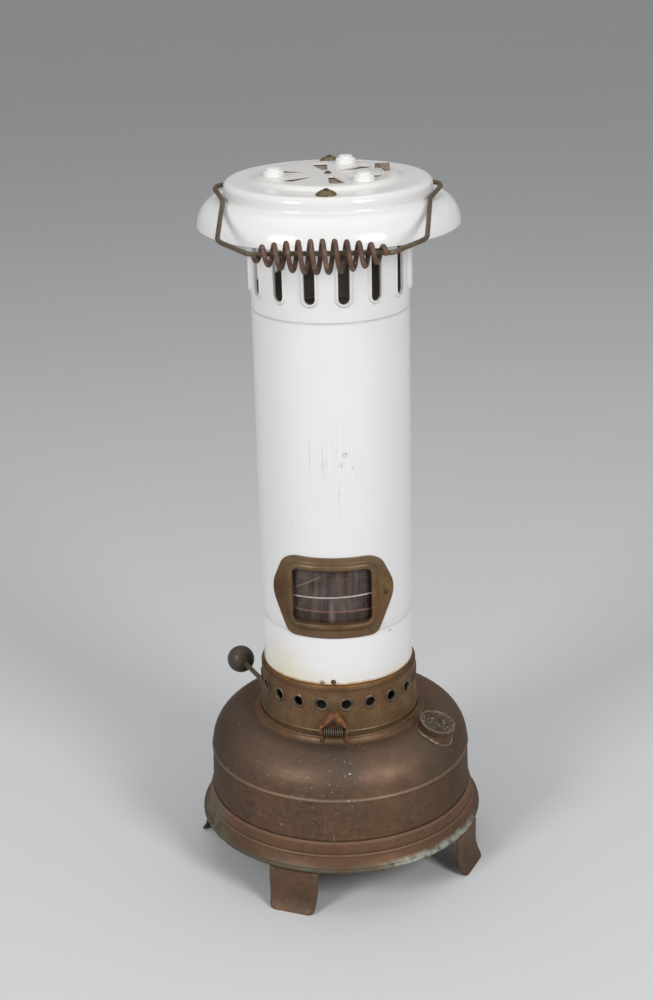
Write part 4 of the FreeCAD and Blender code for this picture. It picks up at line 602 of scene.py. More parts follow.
def cap_color(tree):
    level = vector_node(tree, "DOT_PRODUCT", spot_of(tree), tuple(filler_axis))
    crown_level = (filler_foot * MM).dot(filler_axis) + (cap_crown - 0.2) * MM
    top = math_node(tree, "GREATER_THAN", level, crown_level)
    side = mixed(tree, 0.55, copper_color(tree), (0.050, 0.032, 0.021))
    return mixed(tree, top, side, cap_top_color(tree))


def cap_bump(tree):
    return use(tree, specks, scale=560, size=0.5, share=0.3), 0.0002


worn_brass = surface("worn_brass", cap_color, brass_roughness, 0.35, cap_bump, **dull)
cap_profile = [(0.0, 7.4), (15.3, 7.4), (15.3, 2.9), (17.9, 2.9), (17.9, 8.9), (15.5, 8.9)]
cap_profile += [(15.1, cap_crown), (0.0, cap_crown)]
turned("filler_cap", eased(cap_profile, 0.5), worn_brass, "cap", "worn_brass", filler_place, 128)

# Burner
# A brass draught tube through the tank and a wick tube round it on a flange; between them a woven
# wick in its sleeve, and over all a pierced thimble that spreads the flame.


def as_cast(name, material, body, slot):
    """Smoothly shaded copy of a solid whose own shape is right, in its finish."""
    mesh = smooth(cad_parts[name].data.copy(), 35, 2e-6, turn_out=False)
    mesh.name = name
    fit(piece(name + "_skin", mesh), material, body, slot, name)


soot_color = painted(
    brass_color,
    coat("soot", (0.018, 0.015, 0.013), blotches, scale=30, threshold=0.40, softness=0.14, seed=31))
sooty_brass = surface("sooty_brass", soot_color, brass_roughness, 0.45, brass_bump)
draught_profile = eased([(34.5, 43.0), (35.5, 43.0), (35.5, 248.0), (34.5, 248.0)], 0.3)
turned("draught_tube", draught_profile, sooty_brass, "base", "aged_brass", turns=128)
as_cast("wick_tube", sooty_brass, "base", "aged_brass")
as_cast("flame_spreader", sooty_brass, "base", "aged_brass")


def weave(tree):
    threads = {"Vector": spot_of(tree), "Scale": 160.0, "Distortion": 1.5, "Detail": 2.0}
    return node(tree, "ShaderNodeTexWave", threads, bands_direction="Z").outputs["Fac"]


def cloth(tree):
    return mixed(tree, weave(tree), (0.24, 0.20, 0.14), (0.42, 0.36, 0.27))


cotton_color = painted(
    (0.02, 0.018, 0.016),
    coat("clean cloth", cloth, band, full=0.225, gone=0.245, ragged=0.6, scale=90))
cotton_roughness = wandering(0.8, 0.95, scale=400, softness=0.4, seed=32)


def cotton_bump(tree):
    return weave(tree), 0.0004


cotton = surface("charred_cotton", cotton_color, cotton_roughness, 0.0, cotton_bump)
wick_profile = eased([(36.0, 61.0), (40.6, 61.0), (40.6, 244.0), (36.0, 244.0)], 1.2)
turned("wick", wick_profile, cotton, "wick", "cotton", turns=128)
rust_color = painted(
    (0.072, 0.036, 0.022),
    coat("flakes", (0.125, 0.054, 0.025), blotches, scale=110, softness=0.15, seed=41),
    coat("dark scale", (0.032, 0.021, 0.016), blotches, scale=70, threshold=0.57, seed=42))
rust_roughness = wandering(0.55, 0.85, scale=150, seed=43)
rust_bump = bumpy(0.0002, scale=420, softness=0.4, seed=44)
rusty_steel = surface("rusty_steel", rust_color, rust_roughness, 0.2, rust_bump)
as_cast("wick_carrier", rusty_steel, "wick", "rusty_steel")

# Wick winder
# A steel spindle in a two-cheeked bracket beside the wick tube; its pinion lifts the wick's rack,
# and a dark turned ball is driven on its outer end, at the heater's left.
as_cast("spindle_bracket", rusty_steel, "base", "rusty_steel")
as_cast("wick_pinion", rusty_steel, "winder", "rusty_steel")
spindle_turn = math.radians(-150.7)
spindle_out = Vector((math.sin(spindle_turn), -math.cos(spindle_turn), 0))
spindle_foot = Vector((59.2 * math.cos(spindle_turn), 59.2 * math.sin(spindle_turn), 168.0))


def along_axis(origin, direction):
    """Placement that takes a piece built along Z to a line through a point given in millimetres."""
    turn = Vector((0, 0, 1)).rotation_difference(Vector(direction)).to_matrix().to_4x4()
    return Matrix.Translation(Vector(origin) * MM) @ turn


wire_color = painted(
    (0.078, 0.060, 0.040),
    coat("worn", (0.150, 0.118, 0.078), blotches, scale=90, softness=0.2, seed=51),
    coat("rust", (0.115, 0.058, 0.030), blotches, 0.8, scale=55, threshold=0.6, softness=0.08, seed=52))
wire_roughness = wandering(0.38, 0.62, scale=120, seed=53)
dark_wire = surface("dark_wire", wire_color, wire_roughness, 0.5, rust_bump)
spindle_profile = eased([(0.0, -8.0), (2.4, -8.0), (2.4, 104.0), (0.0, 104.0)], 0.4)
spindle_place = along_axis(spindle_foot, spindle_out)
turned("wick_spindle", spindle_profile, dark_wire, "winder", "dark_wire", spindle_place, 48)
ball_color = painted(
    (0.031, 0.023, 0.017),
    coat("worn", (0.076, 0.054, 0.036), blotches, scale=60, threshold=0.53, softness=0.14, seed=54),
    coat("rust", (0.100, 0.058, 0.034), blotches, 0.6, scale=95, threshold=0.58, seed=55))
ball_roughness = wandering(0.36, 0.54, scale=80, seed=55)
dark_ball = surface("dark_ball", ball_color, ball_roughness, 0.0, brass_bump)
ball_r, ball_at = 13.9, 111.0
ball_turns = [math.radians(15 + 165 * k / 40) for k in range(41)]
ball_profile = [(2.5, ball_at - 13.4)]
ball_profile += [(ball_r * math.sin(a), ball_at - ball_r * math.cos(a)) for a in ball_turns]
ball_profile[-1] = (0.0, ball_at + ball_r)
ball_profile += [(0.0, ball_at - 6.9), (2.5, ball_at - 6.9)]
turned("ball_knob", ball_profile, dark_ball, "winder", "dark_ball", spindle_place, 96)

# Gallery
# A spun brass ring that stands in the tank's collar and carries the column on its shoulder. A row
# of air holes goes round it, and a notch at its foot lets it lift off the winder's spindle.
eyelet_z, eyelet_count, eyelet_reach = 190.7, 20, 4.9
eyelet_pitch = 360 / eyelet_count
gallery_r, gallery_sheet = 76.0, 1.0
hole_half = math.degrees(math.asin(eyelet_reach / gallery_r))
notch_bearing, notch_half, notch_top = -101.3, 5.6, 174.6
spoke_steps = (-eyelet_pitch / 2, -7.2, -5.4, -hole_half, -1.6, 0.0, 1.6, hole_half, 5.4, 7.2)
notch_edges = [360 + notch_bearing - notch_half, 360 + notch_bearing + notch_half]
spokes = {round(eyelet_pitch * (k + 0.5) + step, 4) for k in range(eyelet_count) for step in spoke_steps}
gallery_bearings = sorted([b for b in spokes if all(abs(b - e) > 0.5 for e in notch_edges)] + notch_edges)


def open_line(points, radius, inside=65.0):
    """Rounded line of a shell's outside; the points further in only give its two ends a corner."""
    return [p for p in eased(points, radius) if p[0] > inside]


gallery_out = [(60.0, 155.0), (78.0, 155.0), (78.0, 161.4), (78.9, 162.7), (78.0, 164.0), (76.0, 180.0)]
gallery_out += [(76.0, 206.4), (73.3, 209.4), (71.4, 209.4), (71.4, 222.4), (60.0, 222.4)]
gallery_out = open_line(gallery_out, 1.0)


def radius_at(line, z):
    """Radius of a rising line of profile points at a height."""
    for (r0, z0), (r1, z1) in zip(line, line[1:]):
        if z0 <= z <= z1 and z1 > z0:
            return r0 + (r1 - r0) * (z - z0) / (z1 - z0)
    return line[-1][0]


for z in (notch_top, eyelet_z - eyelet_reach, eyelet_z + eyelet_reach):
    if all(abs(z - p[1]) > 0.05 for p in gallery_out):
        spot = next(i for i, p in enumerate(gallery_out) if p[1] > z)
        gallery_out.insert(spot, (radius_at(gallery_out, z), z))


def pierced_shell(name, outline, thickness, bearings, open_at):
    """Round shell from a rising outline, without the cells that open_at names; its edges are closed."""
    work = bmesh.new()
    ways = [(math.sin(math.radians(b)), -math.cos(math.radians(b))) for b in bearings]
    skins = []
    for inset in (0.0, thickness):
        skins.append([[work.verts.new(((r - inset) * x * MM, (r - inset) * y * MM, z * MM)) for x, y in ways]
                      for r, z in outline])
    count = len(bearings)
    kept = {}
    for i in range(len(outline) - 1):
        mid_z = (outline[i][1] + outline[i + 1][1]) / 2
        for k in range(count):
            gap = (bearings[(k + 1) % count] - bearings[k]) % 360
            kept[i, k] = not open_at(bearings[k] + gap / 2, mid_z)
    for (i, k), solid in kept.items():
        if not solid:
            continue
        j = (k + 1) % count
        for skin in skins:
            work.faces.new((skin[i][k], skin[i][j], skin[i + 1][j], skin[i + 1][k]))
        sides = (((i, k), (i, j), (i - 1, k)), ((i + 1, k), (i + 1, j), (i + 1, k)),
                 ((i, k), (i + 1, k), (i, (k - 1) % count)), ((i, j), (i + 1, j), (i, j)))
        for (a, b), (c, d), beside in sides:
            if not kept.get(beside, False):
                work.faces.new((skins[0][a][b], skins[0][c][d], skins[1][c][d], skins[1][a][b]))
    bmesh.ops.delete(work, geom=[v for v in work.verts if not v.link_faces], context="VERTS")
    return piece(name, smooth(finished(work, name), 40))


def gallery_open(bearing, z):
    from_eyelet = abs(bearing % eyelet_pitch - eyelet_pitch / 2)
    if from_eyelet < hole_half and abs(z - eyelet_z) < eyelet_reach:
        return True
    from_notch = abs((bearing - notch_bearing + 180) % 360 - 180)
    return from_notch < notch_half and z < notch_top


gallery_color = painted(
    brass_color,
    coat("warm", (0.172, 0.078, 0.036), blotches, 0.8, scale=28, threshold=0.48, seed=61),
    coat("pale", (0.225, 0.150, 0.078), blotches, 0.6, scale=55, threshold=0.58, softness=0.08, seed=63),
    coat("green", (0.108, 0.094, 0.045), band, 0.5, full=0.158, gone=0.184, ragged=1.0, scale=45),
    coat("runs", (0.205, 0.150, 0.082), blotches, 0.4, scale=95, stretch=0.14, threshold=0.56, seed=65),
    coat("pits", (0.046, 0.030, 0.019), specks, 0.7, scale=300, size=0.4, share=0.12),
    # The side coat is painted shade on the gallery's left side.
    coat("side", (0.054, 0.038, 0.023), patch, 0.5, x=-0.072, y=-0.030, z=0.185, full=0.012, gone=0.050),
    coat("under", (0.075, 0.042, 0.025), band, 0.6, full=0.2060, gone=0.2015, ragged=0.8, scale=50),
    coat("rust", (0.32, 0.155, 0.042), band, 0.8, within=mask(blotches, scale=60, threshold=0.48, seed=64),
         full=0.2094, gone=0.2074, ragged=1.2, scale=80))
gallery_brass = surface("gallery_brass", gallery_color, brass_roughness, 0.45, brass_bump, **dull)
gallery = pierced_shell("gallery", gallery_out, gallery_sheet, gallery_bearings, gallery_open)
fit(gallery, gallery_brass, "column", "aged_brass", "gallery")

# Eyelets
# Rolled brass eyelets that line the gallery's air holes; their rims are worn greyer than the band.


def shaper(name, values):
    """Empty Geometry Nodes tree with named inputs, and the settings for a modifier that uses it."""
    tree = bpy.data.node_groups.new(name, "GeometryNodeTree")
    tree.interface.new_socket("Geometry", in_out="INPUT", socket_type="NodeSocketGeometry")
    settings = {}
    for label, value in values.items():
        kind = "NodeSocketInt" if isinstance(value, int) else "NodeSocketFloat"
        settings[tree.interface.new_socket(label, in_out="INPUT", socket_type=kind).identifier] = value
    tree.interface.new_socket("Geometry", in_out="OUTPUT", socket_type="NodeSocketGeometry")
    return tree, tree.nodes.new("NodeGroupInput").outputs, settings


def plain_mesh(holder, name):
    """Mesh of an object as its modifiers or bevel make it; the object itself goes."""
    bpy.context.view_layer.update()
    done = holder.evaluated_get(bpy.context.evaluated_depsgraph_get())
    mesh = bpy.data.meshes.new_from_object(done)
    mesh.name = name
    bpy.data.objects.remove(holder)
    return mesh


def realized(name, single, tree, settings, shape, material):
    """Ends a tree with its material, runs it on a mesh and keeps the result as a plain piece."""
    solid = node(tree, "GeometryNodeRealizeInstances", {"Geometry": shape.outputs[0]})
    finish = node(tree, "GeometryNodeSetMaterial", {"Geometry": solid.outputs[0], "Material": material})
    tree.links.new(finish.outputs[0], tree.nodes.new("NodeGroupOutput").inputs[0])
    holder = piece(name + "_source", single)
    modifier = holder.modifiers.new("nodes", "NODES")
    modifier.node_group = tree
    for key, value in settings.items():
        modifier[key] = value
    return piece(name, plain_mesh(holder, name))


def ring_of(name, single, copies, first, material):
    """Geometry Nodes: copies of a piece set round the column's axis, realized and given their material."""
    tree, given, settings = shaper(name + "_ring", {"Copies": copies, "First Turn": math.radians(first)})
    spots = node(tree, "GeometryNodeMeshLine", {"Count": given["Copies"], "Offset": (0, 0, 0)})
    share = math_node(tree, "DIVIDE", node(tree, "GeometryNodeInputIndex").outputs[0], given["Copies"])
    turn = math_node(tree, "ADD", both(tree, share, 2 * math.pi), given["First Turn"])
    angles = node(tree, "ShaderNodeCombineXYZ", {"Z": turn}).outputs[0]
    set_out = {"Points": spots.outputs[0], "Instance": given["Geometry"], "Rotation": angles}
    copied = node(tree, "GeometryNodeInstanceOnPoints", set_out)
    return realized(name, single, tree, settings, copied, material)


eyelet_color = painted(
    (0.055, 0.041, 0.029),
    coat("worn", (0.175, 0.138, 0.098), blotches, scale=140, threshold=0.48, softness=0.14, seed=62))
eyelet_brass = surface("eyelet_brass", eyelet_color, brass_roughness, 0.4, brass_bump, **dull)
eyelet_profile = [(4.7, -2.0), (5.5, -2.0), (5.5, 0.1), (7.3, 0.1), (7.3, 0.35), (6.2, 1.0), (5.2, 1.0)]
eyelet_profile += [(4.7, 0.5)]
eyelet_place = along_axis((0, -gallery_r, eyelet_z), (0, -1, 0))
eyelet_mesh = lathe_mesh("eyelet", eased(eyelet_profile, 0.35), eyelet_place, 40)
eyelets = ring_of("gallery_eyelets", eyelet_mesh, eyelet_count, eyelet_pitch / 2, eyelet_brass)
fit(eyelets, eyelet_brass, "column", "aged_brass", "gallery_eyelets")

# Column
# A steel tube in thick white enamel, with a rolled groove below the window. Rust creeps up from its
# bottom edge, the glaze has fine upright cracks, a chip and a few pinholes, and soot coats the inside.
column_r, enamel_sheet = 73.0, 1.5
column_low, column_high, groove_z = 209.4, 565.0, 261.0
window_low, window_high, window_half = 273.6, 330.0, 37.8
window_turn = math.degrees(math.asin(window_half / column_r))


def enamel_white(tint, shade):
    """Glaze in two close whites, with pinholes."""
    return painted(tint, coat("cloud", shade, blotches, scale=5, softness=0.35, seed=71),
                   coat("pinholes", (0.16, 0.11, 0.07), specks, 0.6, scale=85, size=0.09, share=0.03))


soot = coat("soot", (0.290, 0.258, 0.222), bore, radius=0.0716, soft=0.0004)
column_white = enamel_white((0.748, 0.742, 0.742), (0.705, 0.698, 0.695))
enamel_roughness = wandering(0.12, 0.22, scale=30, seed=72)
enamel_bump = bumpy(0.00025, scale=26, seed=73, detail=1)


def crackle(tree):
    upright = vector_node(tree, "MULTIPLY", spot_of(tree), (1.0, 1.0, 0.05))
    cells = {"Vector": upright, "Scale": 260.0}
    edges = node(tree, "ShaderNodeTexVoronoi", cells, feature="DISTANCE_TO_EDGE").outputs[0]
    return math_node(tree, "LESS_THAN", edges, 0.035)


grit = mask(blotches, 0.75, scale=500, threshold=0.52, softness=0.05, seed=74)
chips = ((0.0150, -0.0714, 0.4421, 0.0022), (0.0108, -0.0722, 0.4318, 0.0026),
         (0.0224, -0.0695, 0.4284, 0.0014))
scores = ((-0.0056, -0.0728, 0.4386, 0.026), (-0.0172, -0.0710, 0.4400, 0.030),
          (0.0087, -0.0725, 0.4030, 0.090))
column_color = painted(
    column_white,
    coat("groove", (0.42, 0.36, 0.28), stripe, 0.25, level=0.261, half=0.0016),
    coat("stain", (0.68, 0.56, 0.32), band, 0.3, full=0.209, gone=0.225, ragged=1.1, scale=28),
    coat("yellow", (0.70, 0.62, 0.36), patch, 0.45, x=-0.050, y=-0.053, z=0.220, full=0.008, gone=0.040,
         squeeze=1.2),
    coat("rust", (0.42, 0.215, 0.065), band, 0.95, full=0.2106, gone=0.2130, ragged=1.8, scale=95),
    coat("dark", (0.10, 0.050, 0.024), band, full=0.2098, gone=0.2112, ragged=1.6, scale=140),
    coat("spill", (0.13, 0.060, 0.025), patch, 0.85, x=-0.0107, y=-0.0722, z=0.2122, full=0.001, gone=0.0036),
    coat("scuff", (0.20, 0.125, 0.072), patch, 0.75, x=0.0535, y=-0.0497, z=0.2575, full=0.0012, gone=0.0034,
         squeeze=4),
    coat("crackle", (0.38, 0.35, 0.32), patch, 0.18, crackle, x=0.006, y=-0.0727, z=0.420, full=0.008,
         gone=0.026, squeeze=0.42),
    *[coat("chip", (0.46, 0.29, 0.13), patch, within=grit, x=x, y=y, z=z, full=reach, gone=reach * 1.3)
      for x, y, z, reach in chips],
    *[coat("score", (0.33, 0.28, 0.22), patch, 0.3, x=x, y=y, z=z, full=0.0002, gone=0.0007, squeeze=squeeze)
      for x, y, z, squeeze in scores],
    coat("nicks", (0.16, 0.09, 0.045), specks, 0.9, mask(band, full=0.213, gone=0.221), scale=150, size=0.3,
         share=0.1),
    # A painted shadow under the air collar's lower edge, at the seam.
    coat("painted_seam_shadow", (0.36, 0.355, 0.36), stripe, 0.45, level=0.5644, half=0.0016),
    soot)
column_enamel = surface("column_enamel", column_color, enamel_roughness, 0.0, enamel_bump)
column_out = [(60.0, column_low), (column_r, column_low), (column_r, groove_z - 2.0)]
column_out += [(column_r - 0.8, groove_z), (column_r, groove_z + 2.0)]
column_out += [(column_r, z) for z in (window_low, window_high, 400.0, 480.0, column_high)]
column_out += [(60.0, column_high)]
column_out = open_line(column_out, 1.1)
column_steps = [2.5 * k for k in range(144)]
column_steps = [b for b in column_steps if abs(min(b, 360 - b) - window_turn) > 0.5]
column_bearings = sorted(column_steps + [window_turn, 360 - window_turn])


def column_open(bearing, z):
    return abs((bearing + 180) % 360 - 180) < window_turn and window_low < z < window_high


column = pierced_shell("column_tube", column_out, enamel_sheet, column_bearings, column_open)
fit(column, column_enamel, "column", "enamel", "column_tube")

# Column screws
# Round-headed screws through the foot of the column into the gallery's spigot, gone brown.
screw_z = 213.5
screw_profile = [(0.0, -4.0), (1.5, -4.0), (1.5, 0.1), (2.5, 0.1)] + bow((2.5, 0.3), (0.0, 1.6), 3.1, 6)
screw_mesh = lathe_mesh("screw", screw_profile, along_axis((0, -column_r, screw_z), (0, -1, 0)), 32)
screws = ring_of("column_screws", screw_mesh, 3, 0.0, rusty_steel)
fit(screws, rusty_steel, "column", "rusty_steel", "column_screws")

# Window frame
# A pressed brass plate bent round the column, with a raised bezel about the opening and a rivet
# through the point at each side.
window_z = 301.8


def rounded_outline(corners, radii, count=240):
    """Points of a rounded polygon's edge in evenly spaced directions from its middle."""
    path = []
    for i, (corner, radius) in enumerate(zip(corners, radii)):
        at = Vector(corner)
        back = (Vector(corners[i - 1]) - at).normalized()
        ahead = (Vector(corners[(i + 1) % len(corners)]) - at).normalized()
        half = (math.pi - back.angle(ahead)) / 2
        cut = radius * math.tan(half)
        start, end = at + back * cut, at + ahead * cut
        centre = at + (back + ahead).normalized() * (radius / math.cos(half))
        first = math.atan2(start.y - centre.y, start.x - centre.x)
        turn = (math.atan2(end.y - centre.y, end.x - centre.x) - first + math.pi) % (2 * math.pi) - math.pi
        angles = [first + turn * k / 12 for k in range(13)]
        path += [centre + radius * Vector((math.cos(a), math.sin(a))) for a in angles]
    reach = []
    for k in range(count):
        way = Vector((math.cos(2 * math.pi * k / count), math.sin(2 * math.pi * k / count)))
        best = 0.0
        for p, q in zip(path, path[1:] + path[:1]):
            edge = q - p
            cross = way.x * edge.y - way.y * edge.x
            if abs(cross) < 1e-9:
                continue
            t = (p.x * edge.y - p.y * edge.x) / cross
            u = (p.x * way.y - p.y * way.x) / cross
            if -1e-6 <= u <= 1 + 1e-6 and t > best:
                best = t
        reach.append(way * best)
    return reach


def rounded_box(half_width, half_height, radius):
    corners = [(-half_width, -half_height), (half_width, -half_height), (half_width, half_height),
               (-half_width, half_height)]
    return rounded_outline(corners, [radius] * 4)


def between(inner, outer, share):
    return [a.lerp(b, share) for a, b in zip(inner, outer)]


plate_corners = [(-42.4, -42.4), (42.4, -42.4), (59.4, 0.0), (44.3, 39.4), (-44.3, 39.4), (-59.4, 0.0)]
frame_edge = rounded_outline(plate_corners, (9.0, 9.0, 34.0, 20.0, 20.0, 34.0))
opening = rounded_box(37.1, 27.25, 6.0)
bezel_edge = rounded_box(43.1, 33.25, 12.0)
bezel_steps = ((0.0, 71.45), (0.0, 76.6), (0.08, 77.4), (0.22, 77.8), (0.5, 77.9), (0.75, 77.5), (0.92, 76.4),
               (1.0, 75.2))
plate_steps = ((0.06, 74.6), (0.16, 74.3), (0.5, 74.3), (0.93, 74.3), (0.985, 74.15), (1.0, 73.8),
               (1.0, 73.0))
section = [(between(opening, bezel_edge, share), radius) for share, radius in bezel_steps]
section += [(between(bezel_edge, frame_edge, share), radius) for share, radius in plate_steps]


def bent_round(name, section, z, sharp):
    """Closed skin of flat loops, each bent to its own radius about the column's axis."""
    work = bmesh.new()
    loops = []
    for loop, radius in section:
        depths = [-math.sqrt(radius ** 2 - p.x ** 2) for p in loop]
        loops.append([work.verts.new((p.x * MM, y * MM, (z + p.y) * MM)) for p, y in zip(loop, depths)])
    joined(work, loops)
    return smooth(finished(work, name), sharp)


frame_color = painted(
    brass_color,
    coat("warm", (0.185, 0.096, 0.040), blotches, 0.65, scale=42, seed=81),
    coat("red", (0.098, 0.046, 0.027), patch, 0.6, x=-0.052, y=-0.054, z=0.300, full=0.008, gone=0.026),
    coat("gold", (0.225, 0.150, 0.050), patch, 0.55, x=0.052, y=-0.054, z=0.310, full=0.006, gone=0.026),
    coat("burnt", (0.072, 0.034, 0.019), blotches, 0.7, scale=52, threshold=0.57, seed=82),
    coat("upper", (0.190, 0.140, 0.092), band, 0.55, full=0.344, gone=0.318, ragged=0.8, scale=40),
    coat("lower", (0.150, 0.118, 0.075), band, 0.4, full=0.260, gone=0.282, ragged=0.8, scale=40))
frame_brass = surface("frame_brass", frame_color, brass_roughness, 0.45, brass_bump, **dull)
frame_mesh = bent_round("window_frame", section, window_z, 60)
fit(piece("window_frame", frame_mesh), frame_brass, "column", "aged_brass", "window_frame")

# Mica pane
# A thin sheet of mica sprung behind the opening: smoky brown, with pale scuffs and streaks, and the
# dark of the column behind it.
streaks = dict(scale=190, stretch=0.1, threshold=0.54, softness=0.12, seed=91)


def broken(tree):
    return spread(tree, use(tree, blotches, 0.7, **streaks), 1.0, 0.6)


mica_color = painted(
    (0.034, 0.019, 0.015),
    coat("streaks", (0.170, 0.126, 0.108), blotches, 0.7, **streaks),
    coat("haze", (0.225, 0.198, 0.188), blotches, 0.34, scale=55, threshold=0.56, softness=0.14, seed=92),
    coat("burnt", (0.080, 0.040, 0.028), blotches, 0.5, scale=40, threshold=0.58, seed=93),
    coat("low", (0.036, 0.019, 0.015), band, 0.5, full=0.2835, gone=0.2860, ragged=0.5, scale=60),
    coat("corner", (0.034, 0.022, 0.018), patch, 0.6, x=0.036, y=-0.061, z=0.318, full=0.004, gone=0.011),
    coat("crease", (0.30, 0.24, 0.22), patch, 0.45, x=0.0, y=-0.0714, z=0.284, full=0.0008, gone=0.0042,
         squeeze=0.25),
    coat("scratch", (0.38, 0.33, 0.31), stripe, 0.5,
         within=mask(patch, x=-0.0235, y=-0.0672, z=0.314, full=0.010, gone=0.017), level=0.327, half=0.0008,
         climb=0.56),
    coat("upper wire", (0.21, 0.120, 0.095), stripe, 0.35, level=0.3185, half=0.0008),
    coat("lower wire", (0.27, 0.145, 0.105), stripe, 0.6, level=0.2858, half=0.0013),
    coat("fold", (0.70, 0.63, 0.58), stripe, 0.9, broken, level=0.3002, half=0.0009, climb=0.035))
mica_roughness = wandering(0.12, 0.32, scale=90, stretch=0.3, seed=94)
mica = surface("smoky_mica", mica_color, mica_roughness, 0.0, **{"Alpha": 0.75, "Specular IOR Level": 0.28})
pane = bmesh.new()
pane_wide, pane_tall, pane_columns, pane_rows = 42.0, 33.0, 40, 12
pane_xs = [pane_wide * (2 * k / pane_columns - 1) for k in range(pane_columns + 1)]
pane_zs = [window_z + pane_tall * (2 * i / pane_rows - 1) for i in range(pane_rows + 1)]
skins = []
for radius in (71.4, 70.9):
    skins.append([[pane.verts.new((x * MM, -math.sqrt(radius ** 2 - x ** 2) * MM, z * MM)) for x in pane_xs]
                  for z in pane_zs])
slab(pane, *skins)
pane_mesh = smooth(finished(pane, "mica_pane"))
fit(piece("mica_pane", pane_mesh), mica, "column", "mica", "mica_pane")

# Window backing
# A steel frame behind the mica, riveted through the column, with an upright bar in the middle.
as_cast("window_backing", rusty_steel, "column", "rusty_steel")

# Window rivets
# Two round-headed rivets, one in each side point of the frame.
rivet_z, rivet_bearing = 299.8, 42.6
rivet_profile = [(0.0, -5.0), (1.6, -5.0), (1.6, 1.4), (3.0, 1.4)] + bow((3.0, 1.6), (0.0, 2.7), 4.6, 6)
pair = bmesh.new()
for side in (-1, 1):
    bearing = math.radians(rivet_bearing * side)
    out = Vector((math.sin(bearing), -math.cos(bearing), 0))
    place = along_axis(out * column_r + Vector((0, 0, rivet_z)), out)
    pair.from_mesh(lathe_mesh("rivet", rivet_profile, place, 32))
rivet_mesh = smooth(finished(pair, "window_rivets"))
fit(piece("window_rivets", rivet_mesh), rusty_steel, "column", "rusty_steel", "window_rivets")

# Air collar
# An enamelled steel tube that plugs into the column and is flanged under the hood, with upright slots
# all round. It is sooty inside.
slot_count, slot_width, slot_low, slot_high, collar_turn = 15, 10.3, 582.0, 652.0, 1.3
collar_low, collar_high = 565.1, 678.9
rough_half, rough_end = 6.2, 0.15
gap_half = math.degrees(math.asin(rough_half / column_r))
slot_pitch = 360 / slot_count
first_slot = slot_pitch / 2 + collar_turn
wall_steps = (-slot_pitch / 2, -9.5, -7.2, -gap_half, -2.4, 0.0, 2.4, gap_half, 7.2, 9.5)
slot_bearings = [first_slot + slot_pitch * k for k in range(slot_count)]
collar_bearings = sorted({round((b + step) % 360, 4) for b in slot_bearings for step in wall_steps})
collar_out = [(60.0, 552.0), (71.4, 552.0), (71.4, collar_low), (column_r, collar_low)]
collar_out += [(column_r, slot_low - rough_end), (column_r, 600.0), (column_r, 634.0)]
collar_out += [(column_r, slot_high + rough_end), (column_r, 677.0), (86.0, 677.4), (86.0, collar_high)]
collar_out = open_line(collar_out + [(60.0, collar_high)], 0.9)
collar_out = [p for i, p in enumerate(collar_out) if i == 0 or p[1] >= collar_out[i - 1][1]]


def collar_open(bearing, z):
    from_slot = abs((bearing - first_slot + slot_pitch / 2) % slot_pitch - slot_pitch / 2)
    return from_slot < gap_half and slot_low - rough_end < z < slot_high + rough_end


collar_color = painted(column_white, soot)
collar_enamel = surface("collar_enamel", collar_color, enamel_roughness, 0.0, enamel_bump)
collar = pierced_shell("air_collar", collar_out, enamel_sheet, collar_bearings, collar_open)
fit(collar, collar_enamel, "column", "enamel", "air_collar")

# Slot rims
# The pressed-out rim round each slot, part of the collar's own sheet. Its glaze has yellowed at the
# slot's foot, and it is chipped brown in places.
rim_section = ((0.0, -1.6), (0.0, 1.2), (0.12, 1.75), (0.4, 2.1), (0.9, 2.2), (1.4, 2.1), (1.9, 1.7),
               (2.4, 0.95), (2.8, 0.35), (3.4, 0.02), (3.4, -1.6))
half_slot = slot_width / 2
low_mid, high_mid = slot_low + half_slot, slot_high - half_slot
half_turn = [math.pi * k / 14 for k in range(15)]
rise_steps = [low_mid + (high_mid - low_mid) * k / 10 for k in range(1, 10)]
slot_path = [(low_mid, -math.cos(a), -math.sin(a)) for a in half_turn]
slot_path += [(z, 1.0, 0.0) for z in rise_steps]
slot_path += [(high_mid, math.cos(a), math.sin(a)) for a in half_turn]
slot_path += [(z, -1.0, 0.0) for z in reversed(rise_steps)]
section = []
for out, rise in rim_section:
    reach = half_slot + out
    section.append(([Vector((nx * reach, z + nz * reach)) for z, nx, nz in slot_path], column_r + rise))
lip_mesh = bent_round("slot_rim", section, 0.0, 80)
rim_enamel_color = painted(
    (0.745, 0.738, 0.730),
    coat("cloud", (0.700, 0.690, 0.668), blotches, scale=30, softness=0.2, seed=101),
    coat("foot stain", (0.60, 0.50, 0.33), band, 0.2, full=0.576, gone=0.592, ragged=0.8, scale=50),
    coat("chips", (0.13, 0.07, 0.035), specks, 0.85, scale=160, size=0.35, share=0.03),
    soot)
rim_enamel = surface("rim_enamel", rim_enamel_color, enamel_roughness, 0.0, enamel_bump)
fit(ring_of("slot_rims", lip_mesh, slot_count, first_slot, rim_enamel), rim_enamel, "column", "enamel")

